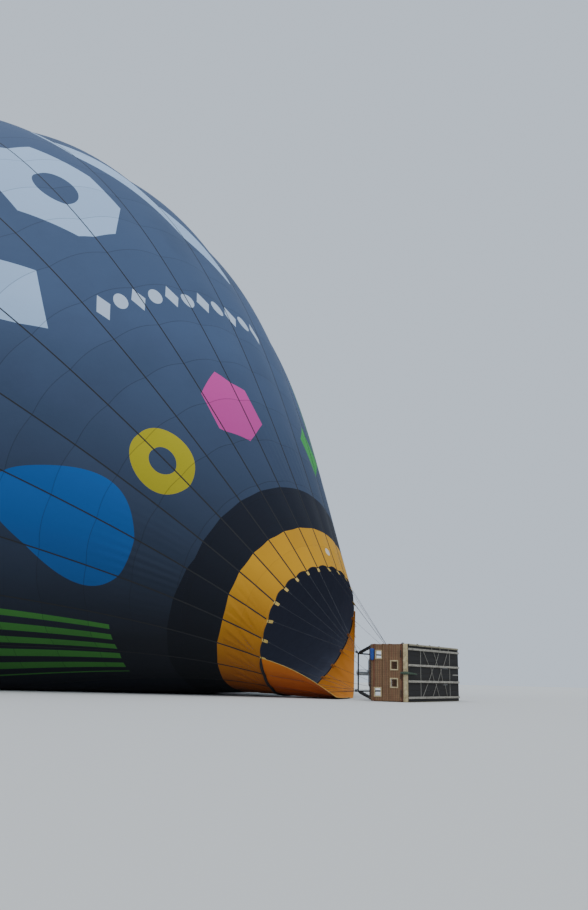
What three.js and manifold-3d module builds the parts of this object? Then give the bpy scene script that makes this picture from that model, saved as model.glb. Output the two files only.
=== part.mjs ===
// Hot air balloon lying on its side while its envelope fills, millimetres, +Z up.
// Origin: inside the filled envelope, where the air holds it. +X runs from the crown end to the basket floor,
// +Y along the basket's long side, and the ground is the plane z = GROUND_Z.
import * as THREE from "three";
import { mergeVertices } from "three/addons/utils/BufferGeometryUtils.js";
import ManifoldModule from "manifold-3d";

const wasm = await ManifoldModule();
wasm.setup();

const GAP = 0.3;
const GROUND_Z = -9100;
const BASKET_X = 16060;

// Envelope shape
const GORES = 24;
const STEPS_PER_GORE = 2;
const SHELL = 10;
const MOUTH_CENTRE = new THREE.Vector3(11763, 1482, -6888);
const AXIS_RISE = THREE.MathUtils.degToRad(39.28);
const AXIS_TURN = THREE.MathUtils.degToRad(1.71);
const MOUTH_R = 2119;
const FULL_R = 12270;
const CONE_LENGTH = 16608;
const CONE_SWELL = 0.9655;
const CROWN_DEPTH = 9800;
const SAG_UP = -0.0117e-3;
const SAG_SIDE = 0.0067e-3;
const FLATTENING = 0.0436;
const LEAN_UP = 0.3436;
const LEAN_SIDE = 0.1144;
const MOUTH_OVAL_COS = -0.0462;
const MOUTH_OVAL_SIN = -0.0466;
const MOUTH_OVAL_REACH = 4000;
const FOLD = 200;
const SLUMP = 250;
const SLUMP_REACH = 3000;
const LOBE = 0.022;
const FIRST_TAPE = THREE.MathUtils.degToRad(15.86);

// Bands of the envelope along its axis, from the mouth
const YELLOW_END = 1037;
const BLACK_END = 2114;
const VENT_R = 2900;
const VALVE_R = 3300;
const VALVE_GAP = 6;
const CROWN_RING_R = 320;

// Basket
const BASKET_L = 3640;
const BASKET_W = 1600;
const BASKET_H = 1300;
const LIFT = 12;
const WALL = 30;
const FLOOR_T = 18;
const RUNNER_T = 45;
const RIM_R = 36;

// Burner and its frame
const FRAME_X = BASKET_X - 2010;
const FRAME_TUBE = 22;
const LUG_R = 30;
const FRAME_Y0 = 640;
const FRAME_Y1 = 3000;
const FRAME_Z0 = GROUND_Z + 260;
const FRAME_Z1 = GROUND_Z + 1360;

const COLOURS = {
  slate: [0x4c5a6c, 0.8, 0],
  black: [0x17191e, 0.8, 0],
  yellow: [0xc8902f, 0.75, 0],
  orange: [0xb86a22, 0.75, 0],
  cream: [0xd9c9a0, 0.7, 0],
  steel: [0x8f959b, 0.35, 1],
  darkSteel: [0x3a3d42, 0.45, 1],
  leather: [0x3b2a20, 0.6, 0],
  hide: [0xcdbb95, 0.7, 0],
  wicker: [0x8a6238, 0.85, 0],
  wood: [0x8d8577, 0.8, 0],
  boards: [0x2d2620, 0.8, 0],
  rubber: [0x1b1b1d, 0.7, 0],
  blue: [0x2c4f8c, 0.8, 0],
};

const root = new THREE.Group();

function place(name, geometry, colour) {
  const [hex, roughness, metalness] = COLOURS[colour];
  const material = new THREE.MeshStandardMaterial({ color: hex, roughness, metalness });
  const mesh = new THREE.Mesh(geometry, material);
  mesh.name = name;
  root.add(mesh);
}

// Solids from three.js geometry and back
function toSolid(geometry) {
  const bare = geometry.clone();
  bare.deleteAttribute("normal");
  bare.deleteAttribute("uv");
  const merged = mergeVertices(bare, 1e-3);
  return new wasm.Manifold(
    new wasm.Mesh({
      numProp: 3,
      vertProperties: new Float32Array(merged.attributes.position.array),
      triVerts: new Uint32Array(merged.index.array),
    }),
  );
}

function toGeometry(solid) {
  const mesh = solid.getMesh();
  const geometry = new THREE.BufferGeometry();
  const positions = [];
  for (let i = 0; i < mesh.vertProperties.length; i += mesh.numProp) {
    positions.push(mesh.vertProperties[i], mesh.vertProperties[i + 1], mesh.vertProperties[i + 2]);
  }
  geometry.setAttribute("position", new THREE.Float32BufferAttribute(positions, 3));
  geometry.setIndex(Array.from(mesh.triVerts));
  const flat = geometry.toNonIndexed();
  flat.computeVertexNormals();
  return flat;
}

function join(geometries) {
  let solid = toSolid(geometries[0]);
  for (const geometry of geometries.slice(1)) {
    solid = solid.add(toSolid(geometry));
  }
  return toGeometry(solid);
}

function cut(geometry, tools) {
  let solid = toSolid(geometry);
  for (const tool of tools) {
    solid = solid.subtract(toSolid(tool));
  }
  return toGeometry(solid);
}

function box(x0, x1, y0, y1, z0, z1) {
  const geometry = new THREE.BoxGeometry(x1 - x0, y1 - y0, z1 - z0);
  return geometry.translate((x0 + x1) / 2, (y0 + y1) / 2, (z0 + z1) / 2);
}

function rod(from, to, radius, sides = 8, radiusTo = radius) {
  const length = from.distanceTo(to);
  const geometry = new THREE.CylinderGeometry(radiusTo, radius, length, sides);
  const turn = new THREE.Quaternion().setFromUnitVectors(
    new THREE.Vector3(0, 1, 0),
    to.clone().sub(from).normalize(),
  );
  const middle = from.clone().add(to).multiplyScalar(0.5);
  return geometry.applyQuaternion(turn).translate(middle.x, middle.y, middle.z);
}

const vec = (x, y, z) => new THREE.Vector3(x, y, z);

// Envelope surface
const axis = vec(
  -Math.cos(AXIS_RISE) * Math.cos(AXIS_TURN),
  -Math.cos(AXIS_RISE) * Math.sin(AXIS_TURN),
  Math.sin(AXIS_RISE),
);
const side = vec(Math.sin(AXIS_TURN), -Math.cos(AXIS_TURN), 0);
const up = vec(0, 0, 0).crossVectors(axis, side);

function radiusAt(u) {
  if (u < CONE_LENGTH) {
    const x = u / CONE_LENGTH;
    return MOUTH_R + (FULL_R - MOUTH_R) * (1 - (1 - x) ** 2 * (1 + CONE_SWELL * x));
  }
  const x = (u - CONE_LENGTH) / CROWN_DEPTH;
  return FULL_R * Math.sqrt(Math.max(0, 1 - x * x));
}

// Distance along the axis where the crown has the given radius
function crownAt(r) {
  return CONE_LENGTH + CROWN_DEPTH * Math.sqrt(1 - (r / FULL_R) ** 2);
}

function lobeAt(angle) {
  return Math.abs(Math.sin(((angle - FIRST_TAPE) * GORES) / 2));
}

function surface(u, angle, r = radiusAt(u)) {
  const oval = MOUTH_OVAL_COS * Math.cos(2 * angle) + MOUTH_OVAL_SIN * Math.sin(2 * angle);
  const girth = r * (1 + oval * Math.exp(-u / MOUTH_OVAL_REACH)) * (1 + LOBE * (lobeAt(angle) - 0.5) * 0.5);
  const c = Math.cos(angle);
  const s = Math.sin(angle);
  const p = MOUTH_CENTRE.clone()
    .addScaledVector(axis, u + girth * (LEAN_UP * c + LEAN_SIDE * s))
    .addScaledVector(up, SAG_UP * u * u + girth * c * (1 - FLATTENING))
    .addScaledVector(side, SAG_SIDE * u * u + girth * s * (1 + FLATTENING));
  p.z -= SLUMP * Math.exp(-u / SLUMP_REACH) * Math.max(0, -c) ** 2;
  const height = p.z - GROUND_Z;
  if (height < FOLD) {
    p.z = GROUND_Z + FOLD * Math.exp((height - FOLD) / FOLD);
  }
  return p;
}

// Unit normal of the cloth, away from the air inside
function outward(u, angle) {
  const du = 20;
  const da = 0.004;
  const along = surface(u + du, angle).sub(surface(u - du, angle));
  const around = surface(u, angle + da).sub(surface(u, angle - da));
  return along.cross(around).normalize();
}

const tapeAngle = (k) => FIRST_TAPE + (k * 2 * Math.PI) / GORES;

// Closed solid between an outer and an inner sheet of points, rows by columns
function sheetSolid(outer, inner, closed) {
  const rows = outer.length;
  const cols = outer[0].length;
  const positions = [];
  const index = [];
  for (const sheet of [outer, inner]) {
    for (const row of sheet) {
      for (const p of row) positions.push(p.x, p.y, p.z);
    }
  }
  const at = (layer, i, j) => layer * rows * cols + i * cols + (j % cols);
  const quad = (a, b, c, d) => index.push(a, b, c, a, c, d);
  const lastCol = closed ? cols : cols - 1;
  for (let j = 0; j < lastCol; j += 1) {
    for (let i = 0; i < rows - 1; i += 1) {
      quad(at(0, i, j), at(0, i, j + 1), at(0, i + 1, j + 1), at(0, i + 1, j));
      quad(at(1, i, j), at(1, i + 1, j), at(1, i + 1, j + 1), at(1, i, j + 1));
    }
    quad(at(0, 0, j), at(1, 0, j), at(1, 0, j + 1), at(0, 0, j + 1));
    quad(at(0, rows - 1, j), at(0, rows - 1, j + 1), at(1, rows - 1, j + 1), at(1, rows - 1, j));
  }
  if (!closed) {
    for (let i = 0; i < rows - 1; i += 1) {
      quad(at(0, i, 0), at(0, i + 1, 0), at(1, i + 1, 0), at(1, i, 0));
      quad(at(0, i, cols - 1), at(1, i, cols - 1), at(1, i + 1, cols - 1), at(0, i + 1, cols - 1));
    }
  }
  const geometry = new THREE.BufferGeometry();
  geometry.setAttribute("position", new THREE.Float32BufferAttribute(positions, 3));
  geometry.setIndex(index);
  const bare = mergeVertices(geometry, 1e-3);
  const kept = [];
  for (let i = 0; i < bare.index.count; i += 3) {
    const [a, b, c] = [bare.index.getX(i), bare.index.getX(i + 1), bare.index.getX(i + 2)];
    if (a !== b && b !== c && a !== c) kept.push(a, b, c);
  }
  bare.setIndex(kept);
  const flat = bare.toNonIndexed();
  if (volumeOf(flat) < 0) {
    const at3 = flat.attributes.position.array;
    for (let i = 0; i < at3.length; i += 9) {
      for (let k = 0; k < 3; k += 1) [at3[i + 3 + k], at3[i + 6 + k]] = [at3[i + 6 + k], at3[i + 3 + k]];
    }
  }
  flat.computeVertexNormals();
  return flat;
}

function volumeOf(flat) {
  const a = flat.attributes.position.array;
  let volume = 0;
  for (let i = 0; i < a.length; i += 9) {
    const p = vec(a[i], a[i + 1], a[i + 2]);
    const q = vec(a[i + 3], a[i + 4], a[i + 5]);
    const r = vec(a[i + 6], a[i + 7], a[i + 8]);
    volume += p.dot(q.cross(r)) / 6;
  }
  return volume;
}

const RING = GORES * STEPS_PER_GORE;

// Part of the envelope between the given axial stations and steps round the ring
function shellBand(stations, first = 0, last = RING) {
  const whole = last - first === RING;
  const outer = [];
  const inner = [];
  for (const u of stations) {
    const seam = first === 0 ? 0 : GAP / radiusAt(u);
    const outerRow = [];
    const innerRow = [];
    for (let j = first; j <= last - (whole ? 1 : 0); j += 1) {
      const inset = (j === first ? seam : 0) - (j === last ? seam : 0);
      const angle = FIRST_TAPE + (j * 2 * Math.PI) / RING + inset;
      const p = surface(u, angle);
      outerRow.push(p.clone());
      innerRow.push(p.clone().addScaledVector(outward(u, angle), -SHELL));
    }
    outer.push(outerRow);
    inner.push(innerRow);
  }
  return sheetSolid(outer, inner, whole);
}

function stationsBetween(from, to, count) {
  const list = [];
  for (let i = 0; i <= count; i += 1) list.push(from + ((to - from) * i) / count);
  return list;
}

// Stations on the crown cap, even in angle
function crownStations(fromU, toU, count) {
  const angleOf = (u) => Math.asin((u - CONE_LENGTH) / CROWN_DEPTH);
  return stationsBetween(angleOf(fromU), angleOf(toU), count).map(
    (a) => CONE_LENGTH + CROWN_DEPTH * Math.sin(a),
  );
}

const LOWER_END = 8200;
const WAIST_END = 12400;
const VENT_U = crownAt(VENT_R);
const UPPER_END = crownAt(8500);
const [, , SHOULDER_END] = crownStations(CONE_LENGTH, UPPER_END, 4);
const evenTo = (from, to, count) => stationsBetween(from, to - GAP, count);
const crownTo = (from, to, count) => crownStations(from, to - GAP, count);
const ENVELOPE_BANDS = [
  { name: "envelope_mouth_band", stations: evenTo(0, YELLOW_END, 2), colour: "yellow" },
  { name: "envelope_dark_band", stations: evenTo(YELLOW_END, BLACK_END, 2), colour: "black" },
  { name: "envelope_lower_gores", stations: evenTo(BLACK_END, LOWER_END, 4), colour: "slate" },
  { name: "envelope_waist_gores", stations: evenTo(LOWER_END, WAIST_END, 3), colour: "slate" },
  { name: "envelope_middle_gores", stations: evenTo(WAIST_END, CONE_LENGTH, 3), colour: "slate" },
  { name: "envelope_shoulder_gores", stations: crownTo(CONE_LENGTH, SHOULDER_END, 2), colour: "slate" },
  { name: "envelope_upper_gores", stations: crownTo(SHOULDER_END, UPPER_END, 2), colour: "slate" },
  {
    name: "envelope_crown_gores",
    stations: [...crownStations(UPPER_END, crownAt(VALVE_R), 3), VENT_U],
    colour: "slate",
  },
];
const HALVES = [
  { half: "near", first: 0, last: RING / 2 },
  { half: "far", first: RING / 2, last: RING },
];
for (const { name, stations, colour } of ENVELOPE_BANDS) {
  if (colour === "slate") {
    for (const { half, first, last } of HALVES) {
      place(`${name}_${half}`, shellBand(stations, first, last), colour);
    }
  } else {
    place(name, shellBand(stations), colour);
  }
}

// Rows of points under the crown at the given stations, sunk by depth
function crownRows(stations, depth) {
  return stations.map((u) => {
    const row = [];
    for (let j = 0; j < RING; j += 1) {
      const angle = FIRST_TAPE + (j * 2 * Math.PI) / RING;
      row.push(surface(u, angle).addScaledVector(outward(u, angle), -depth));
    }
    return row;
  });
}

// A row shrunk to its middle, which closes a disc
function closingRow(row) {
  const middle = row.reduce((sum, p) => sum.add(p), vec(0, 0, 0)).divideScalar(row.length);
  return row.map(() => middle.clone());
}

const crownNormal = outward(crownAt(600), 0)
  .add(outward(crownAt(600), Math.PI / 2))
  .add(outward(crownAt(600), Math.PI))
  .add(outward(crownAt(600), -Math.PI / 2))
  .normalize();

// Vent valve, a cloth disc held under the crown opening
{
  const stations = [crownAt(VALVE_R), ...crownStations(VENT_U, crownAt(400), 4)];
  const outer = crownRows(stations, SHELL + VALVE_GAP);
  const inner = crownRows(stations, SHELL + VALVE_GAP + SHELL);
  outer.push(closingRow(outer[outer.length - 1]));
  inner.push(closingRow(inner[inner.length - 1]));
  place("vent_valve", sheetSolid(outer, inner, true), "slate");
}

// Crown ring and the tapes that cross the vent to it
{
  const pieces = [];
  const TAPE_W = 40;
  const TAPE_T = 5;
  const TAPE_RISE = 0.4;
  const rings = [VENT_U - 15, ...crownStations(VENT_U, crownAt(CROWN_RING_R - 90), 4)];
  for (let k = 0; k < GORES; k += 1) {
    const angle = tapeAngle(k);
    const outer = [];
    const inner = [];
    for (const u of rings) {
      const middle = surface(u, angle).addScaledVector(outward(u, angle), TAPE_RISE);
      const points = [-1, 0, 1].map((turn) => {
        const beside = surface(u, angle + (turn * 2 * Math.PI) / RING);
        beside.addScaledVector(outward(u, angle), TAPE_RISE);
        const reach = beside.distanceTo(middle);
        return turn === 0 ? middle : middle.clone().lerp(beside, TAPE_W / 2 / reach);
      });
      inner.push(points);
      outer.push(points.map((p) => p.clone().addScaledVector(crownNormal, TAPE_T)));
    }
    pieces.push(sheetSolid(outer, inner, false));
  }
  const hubRows = crownStations(crownAt(CROWN_RING_R), crownAt(CROWN_RING_R - 120), 1);
  const top = [];
  const under = [];
  for (const u of hubRows) {
    const a = [];
    const b = [];
    for (let j = 0; j < RING; j += 1) {
      const angle = FIRST_TAPE + (j * 2 * Math.PI) / RING;
      const p = surface(u, angle);
      a.push(p.clone().addScaledVector(crownNormal, 30));
      b.push(p.clone().addScaledVector(crownNormal, 1));
    }
    top.push(a);
    under.push(b);
  }
  pieces.push(sheetSolid(top, under, true));
  place("crown_ring_and_tapes", join(pieces), "darkSteel");
}

// Mouth tabs: one short webbing tab on each load tape, on a hem cord around the mouth
const TAB_LENGTH = 300;
const TAB_W = 70;
const TAB_T = 6;
const HEM = 12;
const FRAME_CORNERS = {
  near_top: vec(FRAME_X, FRAME_Y0, FRAME_Z1),
  near_bottom: vec(FRAME_X, FRAME_Y0, FRAME_Z0),
  far_top: vec(FRAME_X, FRAME_Y1, FRAME_Z1),
  far_bottom: vec(FRAME_X, FRAME_Y1, FRAME_Z0),
};
// Each corner holds the cables of six load tapes next to each other
const CORNER_FIRST_TAPE = { near_top: 0, near_bottom: 6, far_bottom: 12, far_top: 18 };

function hemPoint(angle, forward) {
  return surface(0, angle).addScaledVector(outward(0, angle), -SHELL / 2).addScaledVector(axis, -forward);
}

{
  const pieces = [];
  const hem = [];
  for (let i = 0; i < 4; i += 1) {
    const [forward, sunk] = [
      [GAP, 0],
      [GAP + HEM, 0],
      [GAP + HEM, -SHELL],
      [GAP, -SHELL],
    ][i];
    const row = [];
    for (let j = 0; j < RING; j += 1) {
      const angle = FIRST_TAPE + (j * 2 * Math.PI) / RING;
      row.push(surface(0, angle).addScaledVector(outward(0, angle), sunk).addScaledVector(axis, -forward));
    }
    hem.push(row);
  }
  pieces.push(sheetSolid([hem[0], hem[1]], [hem[3], hem[2]], true));
  for (const [corner, first] of Object.entries(CORNER_FIRST_TAPE)) {
    for (let k = first; k < first + 6; k += 1) {
      const angle = tapeAngle(k);
      const from = hemPoint(angle, HEM / 2);
      const toFrame = FRAME_CORNERS[corner].clone().sub(from).normalize();
      const across = surface(0, angle + 0.01).sub(surface(0, angle - 0.01)).normalize();
      const face = toFrame.clone().cross(across).normalize();
      const square = face.clone().cross(toFrame).normalize();
      const rows = [0, TAB_LENGTH].map((d) => from.clone().addScaledVector(toFrame, d));
      const corners = (s) =>
        rows.map((p, i) => {
          const half = (TAB_W / 2) * (i === 0 ? 1 : 0.35);
          const along = i === 0 ? across : square;
          const q = p.clone().addScaledVector(face, (s * TAB_T) / 2);
          return [q.clone().addScaledVector(along, -half), q.clone().addScaledVector(along, half)];
        });
      pieces.push(sheetSolid(corners(1), corners(-1), false));
    }
  }
  place("mouth_hem_and_tabs", join(pieces), "yellow");
}

// Flying cables, six to each corner of the burner frame
const CABLE_R = 4;
const KNOT_R = 42;
for (const [corner, first] of Object.entries(CORNER_FIRST_TAPE)) {
  const end = FRAME_CORNERS[corner];
  const pieces = [];
  const centre = vec(0, 0, 0);
  for (let k = first; k < first + 6; k += 1) {
    const from = hemPoint(tapeAngle(k), 6);
    const way = end.clone().sub(from).normalize();
    centre.add(way);
    pieces.push(
      rod(
        from.clone().addScaledVector(way, TAB_LENGTH + GAP),
        end.clone().addScaledVector(way, -62),
        CABLE_R,
        5,
      ),
    );
  }
  centre.normalize();
  const lugHere = toSolid(new THREE.SphereGeometry(LUG_R, 12, 8).translate(end.x, end.y, end.z));
  const knotAt = (distance) => {
    const middle = end.clone().addScaledVector(centre, -distance);
    return new THREE.SphereGeometry(KNOT_R, 10, 8).translate(middle.x, middle.y, middle.z);
  };
  let distance = LUG_R + KNOT_R + GAP;
  for (let i = 0; i < 3; i += 1) {
    distance -= toSolid(knotAt(distance)).minGap(lugHere, KNOT_R) - GAP;
  }
  pieces.push(knotAt(distance));
  place(`flying_cables_${corner}`, join(pieces), "steel");
}

// Scoop, a cloth apron before the hem on the lower half and the far side of the mouth, outside the cables.
// Its near edge runs down to the ground before the burner, and its far edge up the far side
{
  const FIRST_STEP = 14;
  const LAST_STEP = 37;
  const ROWS = 4;
  const angleOf = (j) => FIRST_TAPE + (j * 2 * Math.PI) / RING;
  const rootAt = (j) =>
    surface(0, angleOf(j))
      .addScaledVector(outward(0, angleOf(j)), GAP)
      .addScaledVector(axis, -HEM - GAP * 2);
  const edge = new THREE.CatmullRomCurve3([
    vec(FRAME_X - 630, 430, GROUND_Z + 60),
    vec(FRAME_X - 750, 1000, GROUND_Z + 40),
    vec(FRAME_X - 1050, 1900, GROUND_Z + 40),
    vec(FRAME_X - 1550, 3100, GROUND_Z + 80),
    vec(FRAME_X - 2000, 3950, GROUND_Z + 1300),
    rootAt(LAST_STEP).addScaledVector(axis, -60),
  ]);
  const inner = [];
  const outer = [];
  for (let j = FIRST_STEP; j <= LAST_STEP; j += 1) {
    const start = rootAt(j);
    const end = edge.getPoint((j - FIRST_STEP) / (LAST_STEP - FIRST_STEP));
    const n = outward(0, angleOf(j));
    const row = [];
    for (let i = 0; i <= ROWS; i += 1) row.push(start.clone().lerp(end, i / ROWS));
    inner.push(row);
    outer.push(row.map((p) => p.clone().addScaledVector(n, SHELL)));
  }
  place("scoop", sheetSolid(outer, inner, false), "orange");
}

// Burner frame: a rectangle of tube with a lug plate at each corner
{
  const pieces = [];
  const c = FRAME_CORNERS;
  const order = [c.near_top, c.near_bottom, c.far_bottom, c.far_top];
  order.forEach((p, i) => pieces.push(rod(p, order[(i + 1) % 4], FRAME_TUBE, 12)));
  for (const p of order) {
    pieces.push(new THREE.SphereGeometry(LUG_R, 12, 8).translate(p.x, p.y, p.z));
  }
  place("burner_frame", join(pieces), "darkSteel");
}

// Basket: four woven walls, a board floor and its runners
const Z0 = GROUND_Z + LIFT;
const Z1 = Z0 + BASKET_W;
const FLOOR_X1 = BASKET_X - RUNNER_T;
const FLOOR_X0 = FLOOR_X1 - FLOOR_T;
const WALL_X1 = FLOOR_X0 - GAP;
const RIM_X = BASKET_X - BASKET_H + RIM_R;
const RIM_FLAT = RIM_R * Math.cos(Math.PI / 8);
const WALL_X0 = RIM_X + RIM_FLAT + GAP;
place("basket_wall_low", box(WALL_X0, WALL_X1, 0, BASKET_L, Z0, Z0 + WALL), "wicker");
place("basket_wall_high", box(WALL_X0, WALL_X1, 0, BASKET_L, Z1 - WALL, Z1), "wicker");

// Step holes in an end wall: distance from the rim side, height, width and height of the hole
const STEP_HOLES = [
  { x: 165, z: 1300, w: 165, h: 190 },
  { x: 655, z: 1002, w: 190, h: 215 },
  { x: 645, z: 510, w: 190, h: 210 },
  { x: 125, z: 250, w: 180, h: 200 },
];

function endWall(y0, y1) {
  const solid = box(WALL_X0, WALL_X1, y0, y1, Z0 + WALL + GAP, Z1 - WALL - GAP);
  const holes = STEP_HOLES.map(({ x, z, w, h }) =>
    box(WALL_X0 + x, WALL_X0 + x + w, y0 - 10, y1 + 10, Z0 + z - h / 2, Z0 + z + h / 2),
  );
  return cut(solid, holes);
}

place("basket_end_wall_near", endWall(0, WALL), "wicker");
place("basket_end_wall_far", endWall(BASKET_L - WALL, BASKET_L), "wicker");
place("basket_floor", box(FLOOR_X0, FLOOR_X1, 0, BASKET_L, Z0, Z1), "boards");
const RUNNER_W = 60;
const RUNNER_HEIGHTS = [110, 560, 1010, 1460];
RUNNER_HEIGHTS.forEach((z, i) => {
  place(
    `floor_runner_${i + 1}`,
    box(FLOOR_X1 + GAP, BASKET_X, 20, BASKET_L - 20, Z0 + z - RUNNER_W / 2, Z0 + z + RUNNER_W / 2),
    "wood",
  );
});

// Leather band round the foot of the walls
{
  const BAND_W = 150;
  const T = 8;
  const x0 = FLOOR_X1 - BAND_W;
  const outside = box(x0, FLOOR_X1, -T - GAP, BASKET_L + T + GAP, Z0 - T - GAP, Z1 + T + GAP);
  const inside = box(x0 - 5, FLOOR_X1 + 5, -GAP, BASKET_L + GAP, Z0 - GAP, Z1 + GAP);
  place("basket_leather_band", cut(outside, [inside]), "hide");
}

// Padded rim
{
  const R = RIM_R;
  const corner = 90;
  const y0 = R - 8;
  const y1 = BASKET_L - R + 8;
  const z0 = Z0 + R;
  const z1 = Z1 - R + 8;
  const rows = [];
  const turns = [
    [y1 - corner, z1 - corner, 0],
    [y0 + corner, z1 - corner, 1],
    [y0 + corner, z0 + corner, 2],
    [y1 - corner, z0 + corner, 3],
  ];
  for (const [cy, cz, quarter] of turns) {
    for (let i = 0; i <= 3; i += 1) {
      const a = ((quarter + i / 3) * Math.PI) / 2;
      const way = vec(0, Math.cos(a), Math.sin(a));
      rows.push([vec(RIM_X, cy, cz).addScaledVector(way, corner), way]);
    }
  }
  const SIDES = 8;
  const grid = rows.map(([p, n]) => {
    const ring = [];
    for (let j = 0; j < SIDES; j += 1) {
      const b = ((j + 0.5) * 2 * Math.PI) / SIDES;
      ring.push(
        p.clone().addScaledVector(n, R * Math.cos(b)).add(vec(R * Math.sin(b), 0, 0)),
      );
    }
    return ring;
  });
  const positions = [];
  grid.flat().forEach((p) => positions.push(p.x, p.y, p.z));
  const index = [];
  const at = (i, j) => (i % grid.length) * SIDES + (j % SIDES);
  for (let i = 0; i < grid.length; i += 1) {
    for (let j = 0; j < SIDES; j += 1) {
      index.push(at(i, j), at(i + 1, j), at(i + 1, j + 1), at(i, j), at(i + 1, j + 1), at(i, j + 1));
    }
  }
  const geometry = new THREE.BufferGeometry();
  geometry.setAttribute("position", new THREE.Float32BufferAttribute(positions, 3));
  geometry.setIndex(index);
  let flat = geometry.toNonIndexed();
  if (volumeOf(flat) < 0) {
    geometry.setIndex(index.reverse());
    flat = geometry.toNonIndexed();
  }
  flat.computeVertexNormals();
  place("basket_rim_padding", flat, "leather");
}

// Partitions inside: two across, with one wall lengthwise in each passenger half
const PILOT_Y0 = 1300;
const PILOT_Y1 = 2340;
const IN_Z0 = Z0 + WALL + GAP;
const IN_Z1 = Z1 - WALL - GAP;
const PART_X0 = WALL_X0 + 20;
const PART_X1 = FLOOR_X0 - GAP;
const PART = 25;
place("partition_cross_near", box(PART_X0, PART_X1, PILOT_Y0 - PART, PILOT_Y0, IN_Z0, IN_Z1), "wicker");
place("partition_cross_far", box(PART_X0, PART_X1, PILOT_Y1, PILOT_Y1 + PART, IN_Z0, IN_Z1), "wicker");
const MID_Z = (Z0 + Z1) / 2;
place(
  "partition_long_near",
  box(PART_X0, PART_X1, WALL + GAP, PILOT_Y0 - PART - GAP, MID_Z - PART / 2, MID_Z + PART / 2),
  "wicker",
);
place(
  "partition_long_far",
  box(PART_X0, PART_X1, PILOT_Y1 + PART + GAP, BASKET_L - WALL - GAP, MID_Z - PART / 2, MID_Z + PART / 2),
  "wicker",
);

// Gas cylinders standing on the floor of the pilot's place, strapped to the cross partitions
const CYLINDER_R = 165;
const CYLINDER_L = 820;
const cylinders = [
  { name: "gas_cylinder_1", y: PILOT_Y0 + CYLINDER_R + 6, z: Z0 + WALL + CYLINDER_R + 8 },
  { name: "gas_cylinder_2", y: PILOT_Y1 - CYLINDER_R - 6, z: Z0 + WALL + CYLINDER_R + 8 },
  { name: "gas_cylinder_3", y: PILOT_Y0 + CYLINDER_R + 6, z: Z1 - WALL - CYLINDER_R - 8 },
  { name: "gas_cylinder_4", y: PILOT_Y1 - CYLINDER_R - 6, z: Z1 - WALL - CYLINDER_R - 8 },
];
for (const { name, y, z } of cylinders) {
  const profile = [
    [0, 0],
    [CYLINDER_R * 0.8, 0],
    [CYLINDER_R, 60],
    [CYLINDER_R, CYLINDER_L - 150],
    [CYLINDER_R * 0.7, CYLINDER_L - 90],
    [CYLINDER_R * 0.7, CYLINDER_L],
    [0, CYLINDER_L],
  ].map(([r, h]) => new THREE.Vector2(r, h));
  const geometry = new THREE.LatheGeometry(profile, 16).rotateZ(Math.PI / 2);
  place(name, geometry.translate(FLOOR_X0 - GAP, y, z), "steel");
}

// Padded uprights from the basket rim to the corners of the burner frame, bare rod at both ends
const UPRIGHT_R = 34;
const UPRIGHT_PIN_R = 14;
const UPRIGHT_PIN_L = 45;
const UPRIGHT_IN = 260;
const uprights = [
  { name: "upright_near_top", y: UPRIGHT_IN, z: Z1 - RIM_R + 8, head: FRAME_CORNERS.near_top },
  { name: "upright_near_bottom", y: UPRIGHT_IN, z: Z0 + RIM_R, head: FRAME_CORNERS.near_bottom },
  { name: "upright_far_top", y: BASKET_L - UPRIGHT_IN, z: Z1 - RIM_R + 8, head: FRAME_CORNERS.far_top },
  { name: "upright_far_bottom", y: BASKET_L - UPRIGHT_IN, z: Z0 + RIM_R, head: FRAME_CORNERS.far_bottom },
];
const lug = new THREE.SphereGeometry(LUG_R, 12, 8).attributes.position;
// Distance from the middle of a lug to its farthest point against the given way
function lugReach(way) {
  let reach = 0;
  for (let i = 0; i < lug.count; i += 1) {
    reach = Math.max(reach, -way.dot(vec(lug.getX(i), lug.getY(i), lug.getZ(i))));
  }
  return reach;
}

for (const { name, y, z, head } of uprights) {
  const foot = vec(RIM_X - RIM_FLAT - GAP, y, z);
  const lean = head.clone().sub(foot).normalize();
  foot.x -= UPRIGHT_PIN_R * Math.hypot(lean.y, lean.z);
  const way = head.clone().sub(foot).normalize();
  const top = head.clone().addScaledVector(way, -(lugReach(way) + GAP));
  const padFrom = foot.clone().addScaledVector(way, UPRIGHT_PIN_L);
  const padTo = top.clone().addScaledVector(way, -UPRIGHT_PIN_L);
  place(name, join([rod(foot, top, UPRIGHT_PIN_R, 10), rod(padFrom, padTo, UPRIGHT_R, 10)]), "leather");
}

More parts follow.
